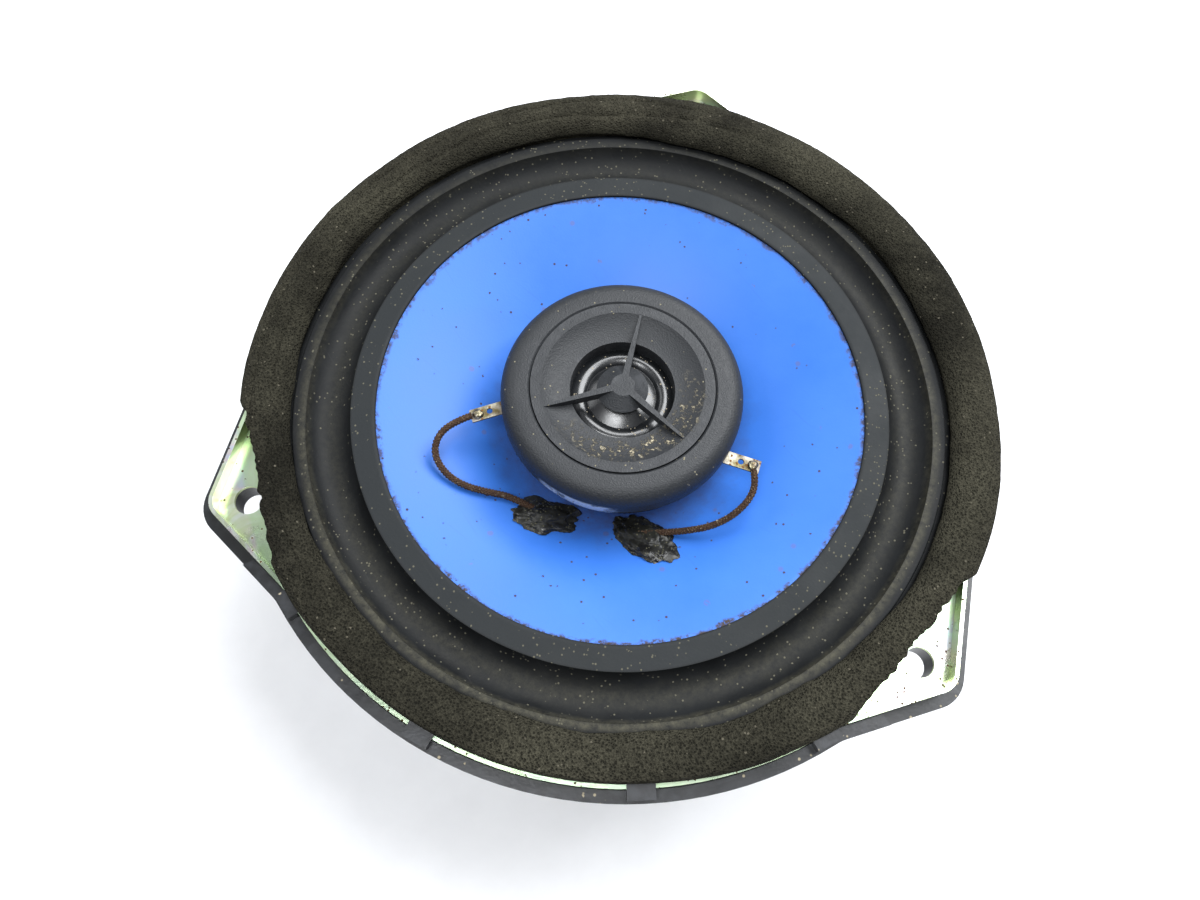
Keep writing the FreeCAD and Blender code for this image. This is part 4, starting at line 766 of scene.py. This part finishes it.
def coneProfile():
    c = coneShape
    under = c["top"] - c["wall"]
    points = bow((c["neck"], c["neckFoot"]), (c["neck"] + c["wall"], c["neckFoot"]), 0, 2)
    points += bow((c["neck"] + c["wall"], c["neckFoot"]), (c["neck"] + c["wall"], c["neckTop"] - c["wall"]),
                  0, 2)
    points += bow((c["neck"] + c["wall"], c["neckTop"] - c["wall"]), (c["edge"] + c["lap"], under), c["rise"],
                  44)
    points += bow((c["edge"] + c["lap"], under), (c["flange"], under), 0, 4)
    points += bow((c["flange"], under), (c["flange"], c["top"]), 0, 2)
    points += bow((c["flange"], c["top"]), (c["edge"], c["top"]), 0, 4)
    points += bow((c["edge"], c["top"]), (c["neck"], c["neckTop"]), -c["rise"], 44)
    points += bow((c["neck"], c["neckTop"]), (c["neck"], c["neckFoot"]), 0, 3)
    return points


def makeConeFinish():
    look = {"colour": (0.03, 0.14, 0.52), "second": (0.038, 0.16, 0.58), "rough": (0.36, 0.44),
            "grain": 1900.0, "patch": 38.0, "depth": 0.014, "specular": 0.28, "dust": 0.02, "speck": 1500.0,
            "cloud": 120.0, "dustColour": (0.05, 0.04, 0.06), "scratch": 0.3, "scratchScale": 46.0,
            "worn": (0.03, 0.12, 0.5), "wear": 0.0, "dustHeight": 1.2}
    finish, tree, shader = startFinish("conePolypropylene", look)
    grain, colour, rough = baseLayers(tree, look)
    dirt = useGroup(tree, ringGroup, {"Inner": 0.0501, "Outer": 0.053, "Soft": 0.0006, "Ragged": 0.001,
                                      "Heading": -1.4, "Bias": 0.3})
    smudge = useGroup(tree, dustGroup,
                      {"Amount": 0.02, "Speck Scale": 620.0, "Film": 0.06, "Cloud Scale": 34.0})
    powder = cloudNoise(tree, objectPlace(tree), 520.0, detail=7.0, roughness=0.8)
    soil = times(tree, dirt["Mask"], remap(tree, powder, 0.44, 0.54), clamp=True)
    colour = mixColour(tree, times(tree, smudge["Mask"], 0.5), colour, (0.1, 0.1, 0.2))
    # partly settled dust and partly painted shadow: a darker, duller film under the tweeter, strongest on the
    # front (-y) side where the tweeter's shadow falls
    tweeterShadowZone = useGroup(tree, ringGroup, {"Inner": 0.0, "Outer": 0.03, "Soft": 0.007, "Ragged": 0.003,
                                        "Heading": -1.6, "Bias": 0.5})
    dustAndTweeterShadow = times(tree, tweeterShadowZone["Mask"], remap(tree, powder, 0.3, 0.7, 0.35, 0.75), clamp=True)
    colour = mixColour(tree, dustAndTweeterShadow, colour, (0.055, 0.05, 0.085))
    colour = mixColour(tree, soil, colour, (0.05, 0.035, 0.025))
    rough = plus(tree, rough, times(tree, soil, 0.4), clamp=True)
    endFinish(tree, shader, look, colour, rough, grain["Height"])
    return finish


def makeCone():
    mesh = turnedMesh("wooferCone", coneProfile(), coneShape["steps"], crease=50)
    cone = addPiece("wooferCone", mesh, makeConeFinish())
    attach(cone, "woofer_cone")
    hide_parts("cone")


def coneHeight(radius):
    # the bow stands square to the slope, so straight up it measures a little more
    share = (radius - coneShape["neck"]) / (coneShape["edge"] - coneShape["neck"])
    rise = 4 * share * (1 - share) * coneShape["rise"]
    straight = coneShape["neckTop"] + share * (coneShape["top"] - coneShape["neckTop"])
    return straight + rise * coneShape["slant"]


spiderShape = {"Inner Radius": 13.0, "Outer Radius": 38.6, "First Fold": 16.0, "Last Fold": 33.5,
               "Folds": 5.0, "Height": -14.05, "Fold Height": 1.15}
spiderCloth = {"thickness": 0.45, "held": 34.0}


def makeSpiderTree():
    names = [("Geometry", "Geometry", None)]
    names += [(name, "Float", 1.0) for name in spiderShape] + [("Finish", "Material", None)]
    tree, given, made = newGroup("foldedDisc", "GeometryNodeTree", names, [("Geometry", "Geometry", None)])
    grid = put(tree, "GeometryNodeMeshGrid",
               {"Size X": 1.0, "Size Y": 1.0, "Vertices X": 132, "Vertices Y": 181})
    spot = splitPlace(tree, put(tree, "GeometryNodeInputPosition").outputs[0])
    across = plus(tree, spot[0], 0.5)
    turn = times(tree, plus(tree, spot[1], 0.5), 2 * math.pi)
    width = minus(tree, given["Outer Radius"], given["Inner Radius"])
    radius = plus(tree, given["Inner Radius"], times(tree, across, width))
    folded = put(tree, "ShaderNodeMapRange",
                 {0: radius, 1: given["First Fold"], 2: given["Last Fold"]}).outputs[0]
    wave = math2(tree, "SINE", times(tree, times(tree, folded, 2 * math.pi), given["Folds"]))
    height = plus(tree, given["Height"], times(tree, wave, times(tree, given["Fold Height"], 0.5)))
    place = put(tree, "ShaderNodeCombineXYZ", {0: times(tree, radius, math2(tree, "COSINE", turn)),
                                               1: times(tree, radius, math2(tree, "SINE", turn)), 2: height})
    small = put(tree, "ShaderNodeVectorMath", {0: place.outputs[0]}, operation="SCALE")
    small.inputs["Scale"].default_value = mm
    laid = put(tree, "GeometryNodeSetPosition",
               {"Geometry": grid.outputs[0], "Position": small.outputs[0]}).outputs[0]
    sewn = put(tree, "GeometryNodeMergeByDistance", {"Geometry": laid, "Distance": 0.000002}).outputs[0]
    smooth = put(tree, "GeometryNodeSetShadeSmooth", {"Geometry": sewn}).outputs[0]
    real = put(tree, "GeometryNodeRealizeInstances", {"Geometry": smooth}).outputs[0]
    tree.links.new(put(tree, "GeometryNodeSetMaterial",
                       {"Geometry": real, "Material": given["Finish"]}).outputs[0], made[0])
    return tree


def makeSpiderFinish():
    look = {"colour": (0.46, 0.3, 0.085), "second": (0.36, 0.22, 0.06), "rough": (0.75, 0.9), "grain": 1600.0,
            "patch": 60.0, "depth": 0.12, "dust": 0.2, "film": 0.2, "scratch": 0.0, "wear": 0.0}
    finish, tree, shader = startFinish("spiderCloth", look)
    place = objectPlace(tree)
    grain, colour, rough = baseLayers(tree, look)
    threads = [put(tree, "ShaderNodeTexWave",
                   {"Vector": place, "Scale": 420.0, "Distortion": 0.6, "Detail": 1.0},
                   bands_direction=way).outputs["Fac"] for way in ("X", "Y")]
    weave = times(tree, *threads)
    colour = mixColour(tree, times(tree, weave, 0.5), colour, (0.12, 0.07, 0.02))
    endFinish(tree, shader, look, colour, rough, minus(tree, grain["Height"], weave))
    return finish


def makeSpider():
    values = {**spiderShape, "Finish": makeSpiderFinish()}
    mesh = grow("spiderDisc", bpy.data.meshes.new("spiderStart"), makeSpiderTree(), values)
    spider = addPiece("spiderDisc", closeMesh(mesh))
    cloth = spider.modifiers.new("thickness", "SOLIDIFY")
    cloth.thickness = spiderCloth["thickness"] * mm
    cloth.offset = 0
    radialBlend(spider, spiderCloth["held"], spiderShape["First Fold"])
    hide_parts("spider")


glueShape = {"detail": 5, "long": 7.4, "wide": 4.3, "high": 1.8, "lean": -25, "raised": 0.15, "taper": 0.45,
             "lumps": ((1.3, 0.34), (3.6, 0.2)), "pits": (10, 0.07, 4.0),
             "left": {"place": (-10.4, -26.2), "spin": 37, "seed": 2.0},
             "right": {"place": (11.1, -25.7), "spin": -54, "seed": 7.0}}


def makeGlueFinish():
    look = {"colour": (0.008, 0.008, 0.008), "second": (0.016, 0.016, 0.012), "rough": (0.2, 0.6),
            "grain": 1100.0, "patch": 260.0, "depth": 0.14, "dust": 0.45, "film": 0.03, "speck": 2400.0,
            "scratch": 0.0, "wear": 0.0, "dustColour": (0.1, 0.095, 0.06), "specular": 0.4}
    return makeFinish("rubberGlue", look)


def makeGlue(side, finish):
    facts = glueShape[side]
    x, y = facts["place"]
    radius = math.hypot(x, y)
    turn = Matrix.Rotation(math.atan2(y, x), 3, "Z")
    turn = turn @ Matrix.Rotation(math.radians(glueShape["lean"]), 3, "Y")
    turn = turn @ Matrix.Rotation(math.radians(facts["spin"]), 3, "Z")
    centre = Vector((x, y, coneHeight(radius) + glueShape["raised"]))
    work = bmesh.new()
    bmesh.ops.create_icosphere(work, subdivisions=glueShape["detail"], radius=1)
    for vertex in work.verts:
        way = vertex.co.copy()
        swell = 1
        for scale, size in glueShape["lumps"]:
            swell += wobble(way, scale, size, facts["seed"])
        swell += wobble(way, *glueShape["pits"])
        spot = Vector((way.x * glueShape["wide"], way.y * glueShape["long"],
                       way.z * glueShape["high"])) * swell
        spot.z *= 1 - glueShape["taper"] * abs(way.y) ** 3
        vertex.co = (centre + turn @ spot) * mm
    mesh = bpy.data.meshes.new("glueDab")
    work.to_mesh(mesh)
    work.free()
    dab = addPiece("glueDab" + side.title(), closeMesh(mesh, 60), finish)
    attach(dab, "woofer_cone")
    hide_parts("lead_anchor_" + side)


makeSurround()
makeCone()
makeSpider()
glueFinish = makeGlueFinish()
makeGlue("left", glueFinish)
makeGlue("right", glueFinish)
print("stage: woofer")


# Tweeter diaphragm

filmShape = {"dome": 7.2, "seat": 8.6, "thickness": 0.2, "domeArc": 1.85, "rollEnd": 10.7, "outer": 12.6,
             "rollRise": 0.75, "domeRise": 0.42, "steps": 180}


def filmProfiles():
    f = filmShape
    top = f["seat"] + f["thickness"]
    peak = f["domeArc"] - f["thickness"]
    rim = [(f["dome"], top), (f["dome"], f["seat"])]
    underPeak = (0.0, f["seat"] + peak)
    dome = bow((0.0, top + peak), rim[0], f["domeRise"], 14) + rim
    dome += bow(rim[1], underPeak, -f["domeRise"], 14)[1:] + [underPeak]
    roll = bow((f["dome"], top), (f["rollEnd"], top), f["rollRise"], 18)
    roll += [(f["rollEnd"], top), (f["outer"], top), (f["outer"], f["seat"]), (f["rollEnd"], f["seat"])]
    roll += bow((f["rollEnd"], f["seat"]), (f["dome"], f["seat"]), -f["rollRise"], 18)[1:]
    return dome, roll + [(f["dome"], f["seat"])]


def makeDiaphragm():
    look = {"colour": (0.008, 0.009, 0.01), "second": (0.014, 0.015, 0.017), "rough": (0.2, 0.3),
            "grain": 2600.0, "patch": 200.0, "depth": 0.006, "dust": 0.1, "speck": 2600.0, "specular": 0.9,
            "wear": 0.0}
    finish = makeFinish("diaphragmFilm", look)
    domeProfile, rollProfile = filmProfiles()
    dome = addPiece("tweeterDome", turnedMesh("tweeterDome", domeProfile, filmShape["steps"], crease=60),
                    finish)
    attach(dome, "tweeter_diaphragm")
    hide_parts("tweeter_dome")
    roll = addPiece("tweeterRoll", turnedMesh("tweeterRoll", rollProfile, filmShape["steps"], crease=60),
                    finish)
    radialBlend(roll, filmShape["rollEnd"], filmShape["dome"])
    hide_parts("tweeter_surround")


makeDiaphragm()
print("stage: tweeter diaphragm")


# Finishes of the hard parts, one dictionary each

steelLook = {"metal": 1.0, "rough": (0.2, 0.38), "grain": 1500.0, "patch": 55.0, "depth": 0.02,
             "colour": (0.8, 0.74, 0.45), "worn": (0.55, 0.53, 0.48), "wear": 0.25, "scratch": 0.3,
             "dust": 0.14, "speck": 1700.0, "dustColour": (0.16, 0.1, 0.05)}


def makeZincFinish():
    finish, tree, shader = startFinish("yellowZinc", steelLook)
    place = objectPlace(tree)
    grain = useGroup(tree, grainGroup, {"Scale": steelLook["grain"], "Patch Scale": steelLook["patch"]})
    swirl = cloudNoise(tree, place, 75.0, detail=3.0, distortion=1.6)
    rainbow = ramp(tree, remap(tree, swirl, 0.28, 0.72), [
        (0.0, (0.7, 0.52, 0.24)), (0.16, (0.86, 0.86, 0.6)), (0.32, (0.7, 0.78, 0.4)),
        (0.46, (0.88, 0.92, 0.8)), (0.6, (0.86, 0.68, 0.72)), (0.72, (0.7, 0.68, 0.88)),
        (0.84, (0.66, 0.86, 0.88)), (1.0, (0.9, 0.92, 0.78))])
    rim = useGroup(tree, ringGroup, {"Inner": 0.0742, "Outer": 0.079, "Soft": 0.0008, "Ragged": 0.0})
    rainbow = mixColour(tree, times(tree, rim["Mask"], 0.75), rainbow, (0.5, 0.78, 0.3))
    # painted shade: upright faces, the higher ones more, are mixed towards a darker olive green that stands
    # in for the shade on the tray walls
    upward = splitPlace(tree, put(tree, "ShaderNodeNewGeometry").outputs["Normal"])[2]
    wall = remap(tree, math2(tree, "ABSOLUTE", upward), 0.75, 0.35)
    aloft = remap(tree, splitPlace(tree, place)[2], -0.002, 0.002, 0.25, 1.0)
    wall = times(tree, wall, aloft)
    rainbow = mixColour(tree, 0.42, rainbow, (0.42, 0.52, 0.54))
    colour = mixColour(tree, times(tree, wall, 0.85), rainbow, (0.5, 0.62, 0.26))
    colour = mixColour(tree, times(tree, grain["Patches"], 0.15), colour, (0.6, 0.56, 0.36))
    rough = remap(tree, grain["Patches"], 0.0, 1.0, *steelLook["rough"])
    endFinish(tree, shader, steelLook, colour, rough, grain["Height"])
    return finish


smearFacts = {"Place": (-0.004, -0.0252, 0.0075), "Size": 0.0095, "Low": 0.0108}


hardLooks = {
    "tweeterShell": {"colour": (0.01, 0.01, 0.012), "second": (0.018, 0.018, 0.02), "rough": (0.16, 0.3),
                     "grain": 1300.0, "patch": 90.0, "depth": 0.02, "scratch": 0.2,
                     "worn": (0.05, 0.05, 0.06), "smear": smearFacts},
    "spacerPlastic": {"colour": (0.006, 0.0065, 0.0075), "second": (0.01, 0.011, 0.013), "rough": (0.26, 0.4),
                      "grain": 1400.0, "patch": 80.0, "depth": 0.03, "dust": 0.05, "scratch": 0.3,
                      "worn": (0.04, 0.043, 0.05)},
    "brightSteel": {"colour": (0.58, 0.57, 0.54), "second": (0.46, 0.45, 0.43), "metal": 1.0,
                    "rough": (0.26, 0.42), "dust": 0.2, "grain": 1300.0, "patch": 50.0, "depth": 0.02,
                    "worn": (0.7, 0.7, 0.68)},
    "ferrite": {"colour": (0.03, 0.03, 0.032), "second": (0.05, 0.05, 0.053), "rough": (0.45, 0.62),
                "grain": 1600.0, "patch": 110.0, "depth": 0.05, "dust": 0.3, "worn": (0.14, 0.14, 0.14),
                "specular": 0.6},
    "tweeterPlastic": {"colour": (0.016, 0.018, 0.021), "second": (0.021, 0.023, 0.026), "rough": (0.46, 0.6),
                       "grain": 2900.0, "patch": 1500.0, "depth": 0.11, "dust": 0.014, "speck": 2300.0,
                       "scratch": 0.1, "specular": 0.4, "worn": (0.07, 0.073, 0.08), "wear": 0.25,
                       "dustColour": (0.22, 0.2, 0.14),
                       "ring": {"Inner": 0.0112, "Outer": 0.0168, "Soft": 0.0016, "Ragged": 0.0014,
                                "Heading": -0.9, "Bias": 2.2},
                       "smear": smearFacts, "ringColour": (0.42, 0.37, 0.26)},
    "postPlastic": {"colour": (0.014, 0.014, 0.015), "second": (0.024, 0.024, 0.026), "rough": (0.4, 0.55),
                    "depth": 0.03},
    "tabTin": {"colour": (0.15, 0.13, 0.055), "second": (0.07, 0.04, 0.014), "metal": 0.7,
               "rough": (0.42, 0.64), "grain": 2200.0, "patch": 420.0, "depth": 0.05,
               "worn": (0.75, 0.72, 0.66), "dustColour": (0.25, 0.12, 0.04), "dust": 0.3},
    "tinnedBrass": {"colour": (0.66, 0.62, 0.5), "second": (0.52, 0.42, 0.24), "metal": 1.0,
                    "rough": (0.24, 0.4), "patch": 200.0, "grain": 1800.0, "depth": 0.02,
                    "worn": (0.8, 0.62, 0.3)},
    "solder": {"colour": (0.22, 0.2, 0.13), "second": (0.1, 0.07, 0.035), "metal": 1.0, "rough": (0.28, 0.5),
               "patch": 600.0, "grain": 2400.0, "depth": 0.05, "worn": (0.8, 0.8, 0.8),
               "dustColour": (0.2, 0.12, 0.05)},
    "boardPaper": {"colour": (0.17, 0.085, 0.035), "second": (0.12, 0.06, 0.024), "rough": (0.45, 0.62),
                   "grain": 1500.0, "patch": 150.0, "depth": 0.03, "worn": (0.3, 0.2, 0.11)},
    "bobbin": {"colour": (0.5, 0.46, 0.4), "second": (0.4, 0.34, 0.27), "metal": 0.8, "rough": (0.3, 0.5),
               "depth": 0.02},
    "capacitorSleeve": {"colour": (0.05, 0.16, 0.32), "second": (0.06, 0.2, 0.38), "rough": (0.25, 0.4),
                        "depth": 0.02},
    "neodymium": {"colour": (0.62, 0.6, 0.57), "second": (0.52, 0.5, 0.48), "metal": 1.0,
                  "rough": (0.22, 0.36), "depth": 0.015}}


def makeWindingFinish():
    look = {"colour": (0.62, 0.26, 0.1), "second": (0.5, 0.19, 0.07), "metal": 1.0, "rough": (0.25, 0.4),
            "grain": 1500.0, "patch": 200.0, "depth": 0.06, "dust": 0.05}
    finish, tree, shader = startFinish("windingWire", look)
    grain, colour, rough = baseLayers(tree, look)
    turns = put(tree, "ShaderNodeTexWave", {"Vector": objectPlace(tree), "Scale": 1100.0},
                bands_direction="Z").outputs["Fac"]
    colour = mixColour(tree, times(tree, minus(tree, 1.0, turns), 0.6), colour, (0.15, 0.05, 0.02))
    endFinish(tree, shader, look, colour, rough, turns)
    return finish


finishes = {name: makeFinish(name, look) for name, look in hardLooks.items()}
finishes["yellowZinc"] = makeZincFinish()
finishes["windingWire"] = makeWindingFinish()
print("stage: finishes")


# Hard parts keep their CAD shape; the ones in sight get small rounded edges

edgedParts = {
    "basket": ("yellowZinc", "zinc_steel", 0.22), "spacer_ring": ("spacerPlastic", "spacer_plastic", 0.3),
    "front_plate": ("brightSteel", "bright_steel", 0.2), "ferrite_magnet": ("ferrite", "ferrite", 0.3),
    "yoke": ("brightSteel", "bright_steel", 0.25), "terminal_board": ("boardPaper", "board", 0.12),
    "terminal_positive": ("tinnedBrass", "tinned_brass", 0.08),
    "terminal_negative": ("tinnedBrass", "tinned_brass", 0.08),
    "tweeter_post": ("postPlastic", "post_plastic", 0.2),
    "tweeter_housing": ("tweeterShell", "tweeter_shell", 0.25),
    "tweeter_bezel": ("tweeterPlastic", "tweeter_plastic", 0.06),
    "tweeter_faceplate": ("tweeterPlastic", "tweeter_plastic", 0.06),
    "solder_tab_left": ("tabTin", "tinned_brass", 0.08), "solder_tab_right": ("tabTin", "tinned_brass", 0.08)}
plainParts = {
    "basket_rivets": "brightSteel", "post_screw": "brightSteel", "board_rivets": "tinnedBrass",
    "terminal_rivets": "tinnedBrass", "voice_coil_former": "bobbin", "voice_coil": "windingWire",
    "tweeter_coil": "windingWire", "tweeter_pot": "brightSteel",
    "tweeter_magnet": "neodymium", "tweeter_pole_washer": "brightSteel", "tweeter_carrier": "postPlastic",
    "tweeter_capacitor": "capacitorSleeve"}


def softEdges(node, finish, slot, width):
    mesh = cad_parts[node].data.copy()
    normals = mesh.attributes.get("custom_normal")
    if normals:
        mesh.attributes.remove(normals)
    work = bmesh.new()
    work.from_mesh(mesh)
    bmesh.ops.remove_doubles(work, verts=work.verts, dist=2 * weld)
    bmesh.ops.dissolve_limit(work, angle_limit=math.radians(1.2), verts=work.verts, edges=work.edges)
    work.to_mesh(mesh)
    work.free()
    mesh.shade_smooth()
    mesh.set_sharp_from_angle(angle=math.radians(24))
    words = node.split("_")
    piece = addPiece(words[0] + "".join(word.title() for word in words[1:]), mesh, finishes[finish])
    bevel = piece.modifiers.new("edges", "BEVEL")
    bevel.width = width * mm
    bevel.segments = 2
    bevel.limit_method = "ANGLE"
    bevel.angle_limit = math.radians(26)
    bevel.harden_normals = True
    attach(piece, "chassis")
    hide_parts(node)


solderShape = {"radius": 1.1, "height": 0.7, "cut": -0.35, "raised": 0.1}


def makeSolder(side):
    low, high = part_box("solder_joint_" + side)
    middle = (low + high) / 2
    work = bmesh.new()
    bmesh.ops.create_icosphere(work, subdivisions=4, radius=1)
    for vertex in work.verts:
        way = vertex.co.copy()
        swell = 1 + wobble(way, 1.3, 0.22, len(side)) + wobble(way, 4.0, 0.07, 3.0)
        spot = Vector((way.x * solderShape["radius"], way.y * solderShape["radius"],
                       max(way.z, solderShape["cut"]) * solderShape["height"])) * swell
        vertex.co = Vector((middle.x, middle.y, low.z)) + (spot + Vector((0, 0, solderShape["raised"]))) * mm
    mesh = bpy.data.meshes.new("solderLump")
    work.to_mesh(mesh)
    work.free()
    lump = addPiece("solderLump" + side.title(), closeMesh(mesh, 60), finishes["solder"])
    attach(lump, "chassis")
    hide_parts("solder_joint_" + side)


for node, (finish, slot, width) in edgedParts.items():
    softEdges(node, finish, slot, width)
for node, finish in plainParts.items():
    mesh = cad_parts[node].data
    mesh.materials.clear()
    mesh.materials.append(finishes[finish])
makeSolder("left")
makeSolder("right")
print("stage: hard parts")


# Floor and light

studio = {"floorSize": 3.0, "floorColour": (0.88, 0.88, 0.89), "sky": (0.94, 0.96, 1.0), "skyStrength": 0.34,
          "lightColour": (0.96, 0.98, 1.0),
          "lights": [("key", (0.3, 0.5, 0.75), (0.0, 0.0, 0.0), (0.8, 0.8), 18.0),
                     ("overhead", (-0.1, -0.36, 1.0), (0.0, 0.0, 0.0), (0.4, 0.34), 6.5),
                     ("left", (-0.8, 0.3, 0.6), (0.0, 0.0, 0.0), (0.7, 0.6), 3.0)]}


def makeStudio():
    half = studio["floorSize"] / 2
    mesh = bpy.data.meshes.new("floor")
    level = cadLow.z - 0.0001
    mesh.from_pydata([(-half, -half, level), (half, -half, level), (half, half, level), (-half, half, level)],
                     [], [(0, 1, 2, 3)])
    floorLook = {"colour": studio["floorColour"], "second": (0.84, 0.84, 0.85), "rough": (0.8, 0.9),
                 "dust": 0.0, "film": 0.0, "scratch": 0.0, "wear": 0.0, "depth": 0.01}
    addPiece("floor", mesh, makeFinish("floorPaper", floorLook))
    world = bpy.data.worlds.new("studio")
    world.use_nodes = True
    world.node_tree.nodes["Background"].inputs[0].default_value = rgba(studio["sky"])
    world.node_tree.nodes["Background"].inputs[1].default_value = studio["skyStrength"]
    scene.world = world
    for name, place, aim, size, power in studio["lights"]:
        lamp = bpy.data.lights.new(name, "AREA")
        lamp.shape = "RECTANGLE"
        lamp.size, lamp.size_y = size
        lamp.energy = power
        lamp.color = studio["lightColour"]
        holder = bpy.data.objects.new(name, lamp)
        scene.collection.objects.link(holder)
        holder.location = place
        holder.rotation_euler = (Vector(aim) - Vector(place)).to_track_quat("-Z", "Y").to_euler()


makeStudio()
print("stage: floor and light")
